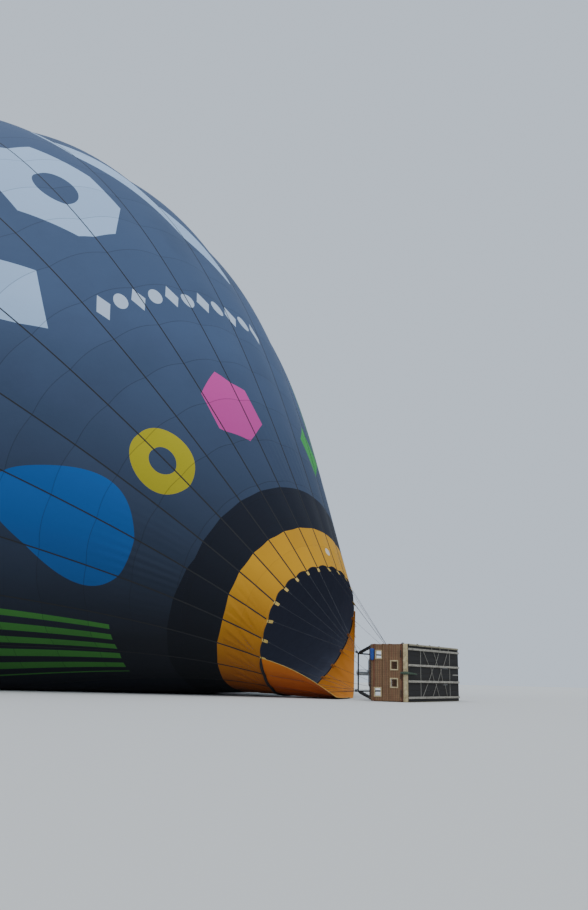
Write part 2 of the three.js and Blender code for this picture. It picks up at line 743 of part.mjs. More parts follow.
// Burner: an inner frame that tilts about the long axis and swings about the short one
const BURNER_Y = (FRAME_Y0 + FRAME_Y1) / 2;
const BURNER_Z = (FRAME_Z0 + FRAME_Z1) / 2;
{
  const HALF_Y = 520;
  const HALF_Z = 400;
  const TUBE = 16;
  const PIVOT_R = 12;
  const CLEAR = GAP * 2;
  const y0 = BURNER_Y - HALF_Y;
  const y1 = BURNER_Y + HALF_Y;
  const z0 = BURNER_Z - HALF_Z;
  const z1 = BURNER_Z + HALF_Z;
  const corners = [
    vec(FRAME_X, y0, z0),
    vec(FRAME_X, y1, z0),
    vec(FRAME_X, y1, z1),
    vec(FRAME_X, y0, z1),
  ];
  const ring = corners.map((p, i) => rod(p, corners[(i + 1) % 4], TUBE, 10));
  for (const p of corners) ring.push(new THREE.SphereGeometry(18, 10, 8).translate(p.x, p.y, p.z));
  const near = vec(FRAME_X, FRAME_Y0 + FRAME_TUBE + CLEAR, BURNER_Z);
  const far = vec(FRAME_X, FRAME_Y1 - FRAME_TUBE - CLEAR, BURNER_Z);
  ring.push(rod(vec(FRAME_X, y0, BURNER_Z), near, PIVOT_R, 10));
  ring.push(rod(vec(FRAME_X, y1, BURNER_Z), far, PIVOT_R, 10));
  place("gimbal_ring", join(ring), "steel");

  const BLOCK = { x: 40, y: 380, z: 45 };
  const block = [
    box(
      FRAME_X - BLOCK.x,
      FRAME_X + BLOCK.x,
      BURNER_Y - BLOCK.y,
      BURNER_Y + BLOCK.y,
      BURNER_Z - BLOCK.z,
      BURNER_Z + BLOCK.z,
    ),
  ];
  const reach = HALF_Z - TUBE - CLEAR;
  const foot = vec(FRAME_X, BURNER_Y, BURNER_Z - reach);
  const head = vec(FRAME_X, BURNER_Y, BURNER_Z + reach);
  block.push(rod(foot, head, PIVOT_R, 10));
  const cans = [-285, -95, 95, 285];
  const CAN_R = 88;
  const CAN_BASE = 60;
  const CAN_L = 360;
  const CAN_WALL = 8;
  const NECK_R = 40;
  const NECK_L = 160;
  for (const dy of cans) {
    const base = vec(FRAME_X - 30, BURNER_Y + dy, BURNER_Z);
    block.push(rod(base, vec(FRAME_X - NECK_L, BURNER_Y + dy, BURNER_Z), NECK_R, 12));
  }
  place("burner_block", join(block), "steel");
  cans.forEach((dy, i) => {
    const profile = [
      [0, 0],
      [CAN_BASE, 0],
      [CAN_R, CAN_BASE],
      [CAN_R, CAN_L],
      [CAN_R - CAN_WALL, CAN_L],
      [CAN_R - CAN_WALL, CAN_BASE + 6],
      [CAN_BASE - 4, 10],
      [0, 10],
    ].map(([r, h]) => new THREE.Vector2(r, h));
    const geometry = new THREE.LatheGeometry(profile, 20).rotateZ(Math.PI / 2);
    geometry.translate(FRAME_X - NECK_L - GAP, BURNER_Y + dy, BURNER_Z);
    place(`burner_can_${i + 1}`, geometry, "steel");
  });
}

// Roll tied along the top edge of the floor, and the tool pouch on the near end wall
const ROLL = { r: 24, out: 23.2, inset: 60, below: 25 };
place(
  "floor_edge_roll",
  rod(
    vec(FLOOR_X1 + ROLL.out, ROLL.inset, Z1 - ROLL.below),
    vec(FLOOR_X1 + ROLL.out, BASKET_L - ROLL.inset, Z1 - ROLL.below),
    ROLL.r,
    10,
  ),
  "cream",
);
const POUCH = { x0: 5, x1: 115, depth: 70, low: 460, high: 130 };
place(
  "wall_pouch",
  box(WALL_X0 + POUCH.x0, WALL_X0 + POUCH.x1, -POUCH.depth, -GAP, Z1 - POUCH.low, Z1 - POUCH.high),
  "blue",
);

export default root;
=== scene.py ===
import math

import bmesh
import bpy
import numpy as np
from mathutils import Matrix, Vector


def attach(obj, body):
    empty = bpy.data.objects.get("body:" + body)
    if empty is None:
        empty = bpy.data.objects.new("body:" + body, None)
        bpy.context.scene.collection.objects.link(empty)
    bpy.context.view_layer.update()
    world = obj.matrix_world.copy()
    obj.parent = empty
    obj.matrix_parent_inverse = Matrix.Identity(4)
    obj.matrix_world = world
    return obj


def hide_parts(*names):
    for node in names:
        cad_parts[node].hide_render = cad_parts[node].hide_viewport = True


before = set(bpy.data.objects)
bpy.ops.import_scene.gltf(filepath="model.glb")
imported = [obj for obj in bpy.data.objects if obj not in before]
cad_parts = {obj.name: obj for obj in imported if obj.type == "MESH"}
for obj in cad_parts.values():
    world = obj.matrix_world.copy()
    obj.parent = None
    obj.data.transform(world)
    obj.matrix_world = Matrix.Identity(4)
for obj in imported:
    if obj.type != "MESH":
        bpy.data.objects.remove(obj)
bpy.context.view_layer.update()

# Frame values, metres
GROUND = -9.1
BASKET_X = 16.06
GORES = 24
MOUTH = np.array([11.763, 1.482, -6.888])
RISE, TURN = math.radians(39.28), math.radians(1.71)
MOUTH_R, FULL_R, CONE, SWELL, CROWN = 2.119, 12.27, 16.608, 0.9655, 9.8
SAG_UP, SAG_SIDE, FLAT, LOBE = -0.0117, 0.0067, 0.0436, 0.022
LEAN_UP, LEAN_SIDE = 0.3436, 0.1144
OVAL_COS, OVAL_SIN, OVAL_REACH = -0.0462, -0.0466, 4.0
FOLD, SLUMP, SLUMP_REACH = 0.2, 0.25, 3.0
TAPE0 = math.radians(15.86)
GORE = 2 * math.pi / GORES
YELLOW_END, BLACK_END, LOWER_END, WAIST_END = 1.037, 2.114, 8.2, 12.4
VENT_R = 2.9
AXIS = np.array([-math.cos(RISE) * math.cos(TURN), -math.cos(RISE) * math.sin(TURN), math.sin(RISE)])
SIDE = np.array([math.sin(TURN), -math.cos(TURN), 0.0])
UP = np.cross(AXIS, SIDE)


def crown_at(r):
    return CONE + CROWN * math.sqrt(1 - (r / FULL_R) ** 2)


def radius(u):
    x = np.clip(u / CONE, 0, 1)
    low = MOUTH_R + (FULL_R - MOUTH_R) * (1 - (1 - x) ** 2 * (1 + SWELL * x))
    y = np.clip((u - CONE) / CROWN, 0, 1)
    return np.where(u < CONE, low, FULL_R * np.sqrt(1 - y * y))


def lobe(angle):
    return np.abs(np.sin((angle - TAPE0) * GORES / 2))


def cloth(u, angle):
    """Point of the envelope's outer face; u along the axis from the mouth."""
    u, angle = np.broadcast_arrays(np.asarray(u, float), np.asarray(angle, float))
    r = radius(u)
    oval = (OVAL_COS * np.cos(2 * angle) + OVAL_SIN * np.sin(2 * angle)) * np.exp(-u / OVAL_REACH)
    girth = r * (1 + oval) * (1 + LOBE * (lobe(angle) - 0.5) * 0.5)
    c, s = np.cos(angle), np.sin(angle)
    along = u + girth * (LEAN_UP * c + LEAN_SIDE * s)
    p = (
        MOUTH
        + along[..., None] * AXIS
        + (SAG_UP * u * u + girth * c * (1 - FLAT))[..., None] * UP
        + (SAG_SIDE * u * u + girth * s * (1 + FLAT))[..., None] * SIDE
    )
    p[..., 2] -= SLUMP * np.exp(-u / SLUMP_REACH) * np.maximum(0, -c) ** 2
    high = p[..., 2] - GROUND
    p[..., 2] = np.where(high < FOLD, FOLD * np.exp((np.minimum(high, FOLD) - FOLD) / FOLD), high) + GROUND
    return p


def normal(u, angle):
    a = cloth(u + 0.02, angle) - cloth(u - 0.02, angle)
    b = cloth(u, angle + 0.004) - cloth(u, angle - 0.004)
    n = np.cross(a, b)
    return n / np.linalg.norm(n, axis=-1, keepdims=True)


# Arc length along the profile from the mouth
U_TABLE = np.concatenate([np.linspace(0, CONE, 400), CONE + CROWN * np.sin(np.linspace(0, 1.56, 300))[1:]])
R_TABLE = radius(U_TABLE)
S_TABLE = np.concatenate([[0], np.cumsum(np.hypot(np.diff(U_TABLE), np.diff(R_TABLE)))])


def arc(u):
    return np.interp(u, U_TABLE, S_TABLE)


# Mesh helpers; SKEW is a direction that no tube follows
SKEW = (0.31, 0.2, 0.93)


def full_turn(n):
    return np.arange(n) * 2 * math.pi / n


def unit(v):
    return v / np.linalg.norm(v)


def run_faces(rings, sides, closed=False):
    """Faces of a run of rings with equally many points, capped at both ends unless the run is closed."""
    faces = []
    for i in range(rings if closed else rings - 1):
        here, after = i * sides, (i + 1) % rings * sides
        for j in range(sides):
            k = (j + 1) % sides
            faces.append((here + j, here + k, after + k, after + j))
    if not closed:
        faces += [tuple(range(sides))[::-1], tuple(range((rings - 1) * sides, rings * sides))]
    return faces


def new_mesh(name, verts, faces, uvs=None, mats=None, smooth=True):
    mesh = bpy.data.meshes.new(name)
    mesh.from_pydata([tuple(map(float, v)) for v in verts], [], [tuple(map(int, f)) for f in faces])
    if uvs is not None:
        layer = mesh.uv_layers.new(name="cloth")
        layer.data.foreach_set("uv", np.asarray(uvs, float).reshape(-1))
    if mats is not None:
        mesh.polygons.foreach_set("material_index", np.asarray(mats, int))
    mesh.polygons.foreach_set("use_smooth", [smooth] * len(mesh.polygons))
    mesh.update()
    obj = bpy.data.objects.new(name, mesh)
    bpy.context.scene.collection.objects.link(obj)
    return obj


def shell(name, us, angles, outer, inner, s_values, closed=True):
    """Closed cloth from two grids of points; rows follow us, columns the angles."""
    rows, cols = outer.shape[:2]
    verts = np.concatenate([outer.reshape(-1, 3), inner.reshape(-1, 3)])
    at = lambda layer, i, j: layer * rows * cols + i * cols + j % cols
    faces, uvs, mats = [], [], []
    gore = (np.asarray(angles) - TAPE0) / GORE
    step = gore[1] - gore[0]

    def corner(i, j):
        g = gore[j] if j < cols else gore[-1] + step
        return (g, s_values[i][j % cols])

    def quad(points, flip, mat):
        points = points[::-1] if flip else points
        faces.append([at(*p) for p in points])
        uvs.extend(corner(i, j) for _, i, j in points)
        mats.append(mat)

    last = cols if closed else cols - 1
    for i in range(rows - 1):
        for j in range(last):
            ring = [(i, j), (i, j + 1), (i + 1, j + 1), (i + 1, j)]
            quad([(0, *p) for p in ring], True, 0)
            quad([(1, *p) for p in ring], False, 1)
    for i, flip in ((0, False), (rows - 1, True)):
        for j in range(last):
            quad([(0, i, j), (0, i, j + 1), (1, i, j + 1), (1, i, j)], flip, 0)
    if not closed:
        for j, flip in ((0, False), (cols - 1, True)):
            for i in range(rows - 1):
                quad([(0, i, j), (0, i + 1, j), (1, i + 1, j), (1, i, j)], flip, 0)
    obj = new_mesh(name, verts, faces, uvs, mats)
    fix_normals(obj)
    return obj


def fix_normals(obj, crease=50):
    bm = bmesh.new()
    bm.from_mesh(obj.data)
    bmesh.ops.recalc_face_normals(bm, faces=bm.faces)
    for edge in bm.edges:
        edge.smooth = len(edge.link_faces) == 2 and edge.calc_face_angle(0) < math.radians(crease)
    bm.to_mesh(obj.data)
    bm.free()


# Node helper: sockets with arithmetic
class S:
    def __init__(self, tree, socket):
        self.tree, self.socket = tree, socket

    def _math(self, op, *others):
        node = self.tree.nodes.new("ShaderNodeMath")
        node.operation = op
        for i, v in enumerate((self, *others)):
            if isinstance(v, S):
                self.tree.links.new(v.socket, node.inputs[i])
            else:
                node.inputs[i].default_value = float(v)
        return S(self.tree, node.outputs[0])

    def clamp(self):
        return self.max(0.0).min(1.0)


OPERATIONS = {
    "__add__": "ADD", "__sub__": "SUBTRACT", "__mul__": "MULTIPLY", "__truediv__": "DIVIDE",
    "abs": "ABSOLUTE", "fract": "FRACT", "floor": "FLOOR", "sin": "SINE", "sqrt": "SQRT",
    "min": "MINIMUM", "max": "MAXIMUM", "less": "LESS_THAN", "more": "GREATER_THAN",
}
for method, operation in OPERATIONS.items():
    setattr(S, method, lambda self, *others, op=operation: self._math(op, *others))


class Material:
    def __init__(self, name, rough=0.7, metal=0.0, **sockets):
        self.mat = bpy.data.materials.new(name)
        self.mat.use_nodes = True
        self.tree = self.mat.node_tree
        self.bsdf = next(n for n in self.tree.nodes if n.type == "BSDF_PRINCIPLED")
        self.bsdf.inputs["Roughness"].default_value = rough
        self.bsdf.inputs["Metallic"].default_value = metal
        for key, value in sockets.items():
            self.bsdf.inputs[key.replace("_", " ")].default_value = value

    def node(self, kind, **settings):
        n = self.tree.nodes.new(kind)
        for key, value in settings.items():
            if hasattr(n, key):
                setattr(n, key, value)
            else:
                n.inputs[key].default_value = value
        return n

    def uv(self):
        sep = self.node("ShaderNodeSeparateXYZ")
        uv = self.node("ShaderNodeUVMap", uv_map="cloth")
        self.tree.links.new(uv.outputs[0], sep.inputs[0])
        return S(self.tree, sep.outputs[0]), S(self.tree, sep.outputs[1])

    def place(self):
        co = self.node("ShaderNodeTexCoord")
        sep = self.node("ShaderNodeSeparateXYZ")
        self.tree.links.new(co.outputs["Object"], sep.inputs[0])
        return [S(self.tree, sep.outputs[i]) for i in range(3)]

    def noise(self, scale, detail=3.0, rough=0.55, stretch=(1, 1, 1)):
        co = self.node("ShaderNodeTexCoord")
        mapping = self.node("ShaderNodeMapping", Scale=stretch)
        n = self.node("ShaderNodeTexNoise", Scale=scale, Detail=detail, Roughness=rough)
        self.tree.links.new(co.outputs["Object"], mapping.inputs[0])
        self.tree.links.new(mapping.outputs[0], n.inputs["Vector"])
        return S(self.tree, n.outputs[0])

    def mix(self, factor, a, b):
        n = self.node("ShaderNodeMix", data_type="RGBA")
        for key, value in ((0, factor), (6, a), (7, b)):
            if isinstance(value, S):
                self.tree.links.new(value.socket, n.inputs[key])
            elif key == 0:
                n.inputs[0].default_value = value
            else:
                n.inputs[key].default_value = (*value[:3], 1.0)
        return S(self.tree, n.outputs[2])

    def color(self, value):
        self.tree.links.new(value.socket, self.bsdf.inputs["Base Color"])

    def rough(self, value):
        self.tree.links.new(value.socket, self.bsdf.inputs["Roughness"])

    def bump(self, height, strength=0.3, distance=0.01):
        n = self.node("ShaderNodeBump", Strength=strength, Distance=distance)
        self.tree.links.new(height.socket, n.inputs["Height"])
        self.tree.links.new(n.outputs[0], self.bsdf.inputs["Normal"])


def srgb(r, g, b):
    f = lambda v: ((v / 255 + 0.055) / 1.055) ** 2.4 if v > 10 else v / 255 / 12.92
    return (f(r), f(g), f(b))


# Camera
CAM = Vector((27.080, -22.859, -8.514))
AZ, PITCH, ROLL, F_PX = 33.458, 14.56, 1.25, 860.0
IMAGE_HEIGHT, SENSOR = 910, 36.0
cam_data = bpy.data.cameras.new("camera")
cam = bpy.data.objects.new("camera", cam_data)
bpy.context.scene.collection.objects.link(cam)
cam_data.sensor_fit = "VERTICAL"
cam_data.sensor_height = SENSOR
cam_data.lens = F_PX / IMAGE_HEIGHT * SENSOR
cam_data.clip_end = 400
turn = (
    Matrix.Rotation(math.radians(AZ), 4, "Z")
    @ Matrix.Rotation(math.radians(90 + PITCH), 4, "X")
    @ Matrix.Rotation(math.radians(ROLL), 4, "Z")
)
cam.matrix_world = Matrix.Translation(CAM) @ turn
bpy.context.scene.camera = cam

# Floor and light
FLOOR_HALF, FLOOR_Z = 160, GROUND - 0.002
floor = new_mesh(
    "floor",
    [(x * FLOOR_HALF, y * FLOOR_HALF, FLOOR_Z) for x, y in ((-1, -1), (1, -1), (1, 1), (-1, 1))],
    [(0, 1, 2, 3)],
    smooth=False,
)
floor_mat = Material("floor_pale", rough=0.9)
floor_mat.bsdf.inputs["Base Color"].default_value = (0.62, 0.62, 0.60, 1)
floor.data.materials.append(floor_mat.mat)

world = bpy.data.worlds.new("studio")
bpy.context.scene.world = world
world.use_nodes = True
world.node_tree.nodes["Background"].inputs[0].default_value = (0.76, 0.86, 1.0, 1)
world.node_tree.nodes["Background"].inputs[1].default_value = 0.85

key = bpy.data.lights.new("key", "SUN")
key.energy, key.angle = 1.6, math.radians(50)
key_light = bpy.data.objects.new("key", key)
key_light.rotation_euler = Vector((-0.1, 0.45, -1.0)).to_track_quat("-Z", "Y").to_euler()
bpy.context.scene.collection.objects.link(key_light)


def dress(obj, mats, body, cad):
    for m in mats:
        obj.data.materials.append(m)
    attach(obj, body)
    if cad:
        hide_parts(*cad)


# Mesh builder for hard pieces: tubes, lathed and chamfered forms gathered in one mesh
class Build:
    def __init__(self):
        self.verts, self.faces, self.mats = [], [], []

    def add(self, verts, faces, mat=0):
        base = len(self.verts)
        self.verts.extend(tuple(map(float, v)) for v in verts)
        self.faces.extend(tuple(int(i) + base for i in f) for f in faces)
        self.mats.extend([mat] * len(faces))
        return self

    def tube(self, points, radius, sides=10, closed=False, mat=0):
        points = np.asarray(points, float)
        radii = np.broadcast_to(np.asarray(radius, float), (len(points),))
        if closed:
            tangent = np.roll(points, -1, 0) - np.roll(points, 1, 0)
        else:
            tangent = np.gradient(points, axis=0)
        tangent /= np.linalg.norm(tangent, axis=1, keepdims=True)
        side = np.cross(tangent[0], SKEW)
        turn = full_turn(sides)
        rows = []
        for p, t, r in zip(points, tangent, radii):
            side = unit(side - t * side.dot(t))
            other = np.cross(t, side)
            rows.append(p + r * (np.cos(turn)[:, None] * side + np.sin(turn)[:, None] * other))
        return self.add(np.concatenate(rows), run_faces(len(points), sides, closed), mat)

    def lathe(self, profile, origin, axis, sides=36, mat=0):
        """Profile of (radius, height) turned about the axis; a radius of 0 at an end closes it in a point."""
        axis = unit(np.asarray(axis, float))
        a = unit(np.cross(axis, (0.3, 0.1, 0.9) if abs(axis[2]) < 0.8 else (1, 0, 0)))
        b = np.cross(axis, a)
        turn = full_turn(sides)
        ring = np.cos(turn)[:, None] * a + np.sin(turn)[:, None] * b
        verts, rows = [], []
        for r, h in profile:
            middle = np.asarray(origin, float) + axis * h
            rows.append([len(verts)] if r < 1e-6 else list(range(len(verts), len(verts) + sides)))
            verts.extend([middle] if r < 1e-6 else list(middle + ring * r))
        faces = []
        for low, high in zip(rows, rows[1:]):
            for j in range(sides):
                k = (j + 1) % sides
                if len(low) == 1:
                    faces.append((low[0], high[j], high[k]))
                elif len(high) == 1:
                    faces.append((low[j], low[k], high[0]))
                else:
                    faces.append((low[j], low[k], high[k], high[j]))
        if len(rows[0]) > 1 and len(rows[-1]) > 1:
            faces += [tuple(rows[0])[::-1], tuple(rows[-1])]
        return self.add(verts, faces, mat)

    def ball(self, middle, radius, sides=16, mat=0):
        turn = np.linspace(0, math.pi, sides // 2 + 1)
        profile = [(radius * math.sin(t) if 0 < t < math.pi else 0.0, -radius * math.cos(t)) for t in turn]
        profile[-1] = (0.0, radius)
        return self.lathe(profile, middle, (0, 0, 1), sides, mat)

    def bar(self, low, high, chamfer=0.003, along=1, mat=0):
        """Chamfered box run along one axis."""
        a, b = [i for i in range(3) if i != along]
        c = chamfer
        outline = []
        for ca, cb, first in ((0, 0, 1), (1, 0, 0), (1, 1, 1), (0, 1, 0)):
            xa, xb = (low, high)[ca][a], (low, high)[cb][b]
            ia, ib = (c if ca == 0 else -c), (c if cb == 0 else -c)
            pair = [(xa, xb + ib), (xa + ia, xb)]
            outline += pair if first else pair[::-1]
        verts = []
        for end in (low[along], high[along]):
            for pa, pb in outline:
                v = [0, 0, 0]
                v[a], v[b], v[along] = pa, pb, end
                verts.append(v)
        return self.add(verts, run_faces(2, len(outline)), mat)

    def sweep(self, path, outward, profile, mat=0):
        """Closed profile of (outward, along X) run round a closed path."""
        path, outward = np.asarray(path, float), np.asarray(outward, float)
        verts = [p + o * a + np.array((b, 0, 0)) for p, o in zip(path, outward) for a, b in profile]
        return self.add(verts, run_faces(len(path), len(profile), True), mat)

    def done(self, name, mats, slot, body="body", cad=(), crease=42):
        obj = new_mesh(name, self.verts, self.faces, mats=self.mats)
        fix_normals(obj, crease)
        dress(obj, mats, body, cad)
        return obj


# Materials
def plain(
    name, dark, light, rough, metal=0.0, scale=8.0, bump=0.25, distance=0.004, stretch=(1, 1, 1), **sockets
):
    """Two tones mixed by noise, with a fine relief from the same noise."""
    m = Material(name, rough=rough, metal=metal, **sockets)
    grain = m.noise(scale, 4.0, 0.6, stretch)
    m.color(m.mix(((grain - 0.35) * 2.6).clamp(), srgb(*dark), srgb(*light)))
    m.rough((grain - 0.5) * 0.25 + rough)
    m.bump(grain, bump, distance)
    return m.mat


WHITE_BLUE = (178, 206, 238)
MOTIF_PERIOD = 12


def spot(g, s, gore, arc_at, lean=0.0):
    """Offsets in metres from a place on the cloth; the second half of the ring repeats the first."""
    turn = ((g - gore - (s - arc_at) * lean) / MOTIF_PERIOD + 0.5).fract() * MOTIF_PERIOD - MOTIF_PERIOD / 2
    return turn * (s * 0.165 + 0.55), s - arc_at


def disc(x, y, r):
    return (x * x + y * y).sqrt().less(r)


def octagon(x, y, r):
    return x.abs().max(y.abs()).max((x.abs() + y.abs()) / 1.36).less(r)


def diamond(x, y, a, b):
    return (x.abs() / a + y.abs() / b).less(1.0)


def pale_octagon(g, s):
    x, y = spot(g, s, 0.95, 14.0)
    return octagon(x, y, 2.15) * (x * x + y * y).sqrt().more(0.75)


def pale_diamond(g, s):
    return diamond(*spot(g, s, 2.75, 11.2), 1.3, 1.6)


def pale_lozenge(g, s):
    x, y = spot(g, s, -0.75, 14.9, 0.32)
    return (x * x / 0.9 + y * y / 9.0).less(1.0)


def row_of_shapes(g, s):
    x, y = spot(g, s, 0.0, 9.35)
    cell = (x / 0.74 + 0.5).fract() - 0.5
    odd = ((x / 0.74 + 0.5).floor() * 0.5).fract().more(0.25)
    dx = cell * 0.74
    dot = disc(dx, y, 0.27)
    bar = diamond(dx, y, 0.30, 0.42)
    inside = x.abs().less(4.1)
    return (dot * (odd * -1.0 + 1.0) + bar * odd) * inside


def pink_hexagon(g, s):
    x, y = spot(g, s, 0.35, 5.35)
    return x.abs().max(x.abs() * 0.5 + y.abs() * 0.87).less(1.05)


def yellow_ring(g, s):
    x, y = spot(g, s, 3.05, 4.85)
    return disc(x, y, 1.0) * (disc(x, y, 0.42) * -1.0 + 1.0)


def green_diamond(g, s):
    return diamond(*spot(g, s, 21.1, 5.2), 0.75, 1.2) * g.more(GORES / 2)


def blue_oval(g, s):
    x, y = spot(g, s, 5.3, 6.5)
    edge = (y * 1.5).sin() * 0.22
    return (x * x / 2.6 + (y * y) / 4.6 + edge).less(1.0)


def green_stripes(g, s):
    turn = ((g - 7.95) / MOTIF_PERIOD + 0.5).fract() * MOTIF_PERIOD - MOTIF_PERIOD / 2
    band = turn.abs().less(0.72) * (s - 7.4).abs().less(2.45)
    return band * ((turn + 3.06) / 0.288).fract().less(0.52)


MOTIFS = (
    (WHITE_BLUE, pale_octagon),
    (WHITE_BLUE, pale_diamond),
    (WHITE_BLUE, pale_lozenge),
    ((196, 212, 232), row_of_shapes),
    ((222, 78, 168), pink_hexagon),
    ((204, 190, 24), yellow_ring),
    ((52, 176, 70), green_diamond),
    ((0, 106, 190), blue_oval),
    ((78, 168, 60), green_stripes),
)


def cloth_material(
    name, top, low, seam, panel=1.4, seam_mix=0.35, motifs=(), shade_height=12.0, start=0.3, shift=None
):
    """Sewn cloth: panel seams, faint tone steps between panels, painted shade from the lit top tone down to
    the shaded low tone towards the ground, and random blotches of the low tone.
    shift holds the colours of the band before this one, the arc length where it ends, how far that end
    moves, the gore from which it moves and the gores that it takes."""
    top, low, seam = (srgb(*colour) for colour in (top, low, seam))
    m = Material(name, rough=0.7, Sheen_Weight=0.02, Specular_IOR_Level=0.25)
    g, s = m.uv()
    z = m.place()[2]
    # Painted shade: high runs from 0 at start above the ground to 1 one shade height higher; low is the
    # shaded tone, top the lit tone
    high = ((z - (GROUND + start)) / shade_height).clamp()
    cell = (((s / panel).floor() * 12.99 + g.floor() * 78.23).sin() * 43.7).fract()
    base = m.mix(high, low, top)
    base = m.mix((cell * 0.1), base, seam)
    # Random blotches of the shaded low tone
    base = m.mix((m.noise(0.35, 4.0) - 0.45).clamp() * 0.5, base, low)
    for colour, mask in motifs:
        tint = m.mix(((cell - 0.5) * 0.08 + 0.06).clamp(), srgb(*colour), seam)
        # Motifs darken towards the shaded low tone with the same painted shade by height
        base = m.mix(mask(g, s), base, m.mix(high * 0.6 + 0.4, low, tint))
    line = ((s / panel).fract() - 0.5).abs().more(0.5 - 0.012 / panel)
    base = m.mix(line * seam_mix, base, seam)
    if shift is not None:
        (other_top, other_low, other_shade_height), end, reach, from_gore, width = shift
        moved = ((g - from_gore) / width).clamp() * ((g * -1.0 + 18.0) / 3.0).clamp() * reach
        # The band before keeps its own painted shade by height
        other = m.mix(((z - (GROUND + 0.3)) / other_shade_height).clamp(), srgb(*other_low), srgb(*other_top))
        moved = moved + ((g.fract() * math.pi).sin() * -1.0 + 1.0) * 0.05
        base = m.mix(((s - end) - moved).less(0.0), base, other)
    m.color(base)
    m.bump(m.noise(1.3, 5.0, 0.6) + line * 0.4, 0.3, 0.05)
    return m.mat


def pale_patch(g, s):
    turn = (g - 22.45) * 0.64
    return disc(turn, s - 0.55, 0.12)


# Band tones as (lit top tone, shaded low tone, height over which the painted shade goes from lit to shaded)
YELLOW = ((206, 150, 26), (132, 68, 20), 3.7)
BLACK = ((16, 24, 42), (9, 12, 18), 8.0)
# Inside of the envelope: colour raised above the cloth's own and a faint blue emission, a painted glow for
# light that comes in through the mouth and the cloth
inside_painted_glow = plain(
    "inside_slate_painted_glow", (60, 64, 78), (76, 82, 98), 0.9, scale=1.5, bump=0.2, distance=0.02,
    Emission_Color=(0.55, 0.64, 1.0, 1.0), Emission_Strength=0.024,
)
yellow_cloth = cloth_material(
    "cloth_yellow", YELLOW[0], YELLOW[1], (92, 56, 18), 0.7, 0.1, (((214, 206, 190), pale_patch),), YELLOW[2]
)
black_cloth = cloth_material(
    "cloth_black", BLACK[0], BLACK[1], (6, 7, 9), 0.8, 0.2,
    shade_height=BLACK[2], shift=(YELLOW, arc(YELLOW_END), 0.5, 6.0, 3.0),
)
# Slate: lit top tone and shaded low tone, with the painted shade starting 1.7 m above the ground
slate_cloth = cloth_material(
    "cloth_slate", (72, 92, 124), (22, 25, 33), (18, 22, 30),
    motifs=MOTIFS, shade_height=10.5, start=1.7, shift=(BLACK, arc(BLACK_END), 0.7, 4.6, 3.6),
)
tape_black = plain("tape_black", (14, 15, 19), (26, 28, 34), 0.7, scale=30)
# Scoop, outside and inside: lit top tone and shaded low tone, painted shade by height above the ground
scoop_cloth = cloth_material(
    "cloth_orange", (226, 140, 42), (150, 66, 16), (110, 56, 18), 0.9, 0.1, shade_height=1.9
)
scoop_inside = cloth_material(
    "cloth_orange_inside", (214, 132, 40), (206, 128, 40), (140, 84, 28), 0.9, 0.1, shade_height=2.2
)
tab_orange = plain("tab_orange", (170, 100, 32), (208, 128, 44), 0.7, scale=40)
tab_yellow = plain("tab_yellow", (176, 146, 66), (214, 186, 104), 0.7, scale=40)
cable_grey = plain("cable_grey", (52, 54, 58), (96, 98, 102), 0.5, metal=0.6, scale=60)
steel = plain(
    "steel_brushed", (120, 124, 128), (172, 176, 180), 0.34, metal=1.0, scale=14, bump=0.1, stretch=(1, 8, 8)
)
dark_steel = plain("steel_painted", (22, 24, 27), (46, 48, 52), 0.45, metal=0.5, scale=24, bump=0.1)
black_sleeve = plain("sleeve_black", (12, 12, 14), (30, 31, 35), 0.75, scale=18, bump=0.5, distance=0.01)
rim_leather = plain("leather_dark", (30, 22, 18), (66, 48, 36), 0.55, scale=22, bump=0.4)
hide = plain("leather_cream", (150, 134, 98), (206, 190, 148), 0.62, scale=9, bump=0.35)
FIBRES = {"scale": 70, "bump": 0.6, "distance": 0.003}
rope = plain("rope_tan", (92, 62, 40), (150, 112, 76), 0.85, **FIBRES)
red_rope = plain("rope_red", (88, 34, 24), (140, 62, 42), 0.85, **FIBRES)
dark_rope = plain("rope_dark", (24, 20, 18), (52, 44, 38), 0.85, **FIBRES)
pale_rope = plain("rope_pale", (112, 108, 100), (168, 164, 154), 0.8, scale=60, bump=0.5, distance=0.003)
green_web = plain("webbing_green", (40, 54, 40), (84, 102, 82), 0.8, scale=30, bump=0.6, distance=0.01)
boards = plain("boards_dark", (24, 21, 19), (37, 33, 29), 0.85, scale=5, bump=0.35, stretch=(6, 1, 6))
runner_wood = plain(
    "runner_worn", (126, 120, 108), (188, 182, 168), 0.85,
    scale=7, bump=0.5, distance=0.005, stretch=(6, 1, 6),
)
roll_cloth = plain("roll_canvas", (112, 106, 88), (164, 156, 132), 0.85, scale=12, bump=0.5, distance=0.008)
pouch_blue = plain("pouch_blue", (26, 54, 120), (44, 84, 164), 0.75, scale=26, bump=0.4)
brass = plain("brass", (128, 96, 44), (186, 150, 82), 0.35, metal=1.0, scale=30, bump=0.1)
red_paint = plain("lever_red", (120, 20, 18), (176, 36, 30), 0.45, scale=20)
aluminium = plain("aluminium", (128, 130, 134), (178, 180, 184), 0.4, metal=0.9, scale=12, bump=0.12)

# Weave: distance between canes and between stakes, and bands of redder cane as (place along X, half width)
CANE_PITCH, STAKE_PITCH = 0.0135, 0.05
RED_BANDS = ((14.93, 0.016), (15.1, 0.008), (15.3, 0.008), (15.5, 0.01), (15.62, 0.008), (15.83, 0.02))


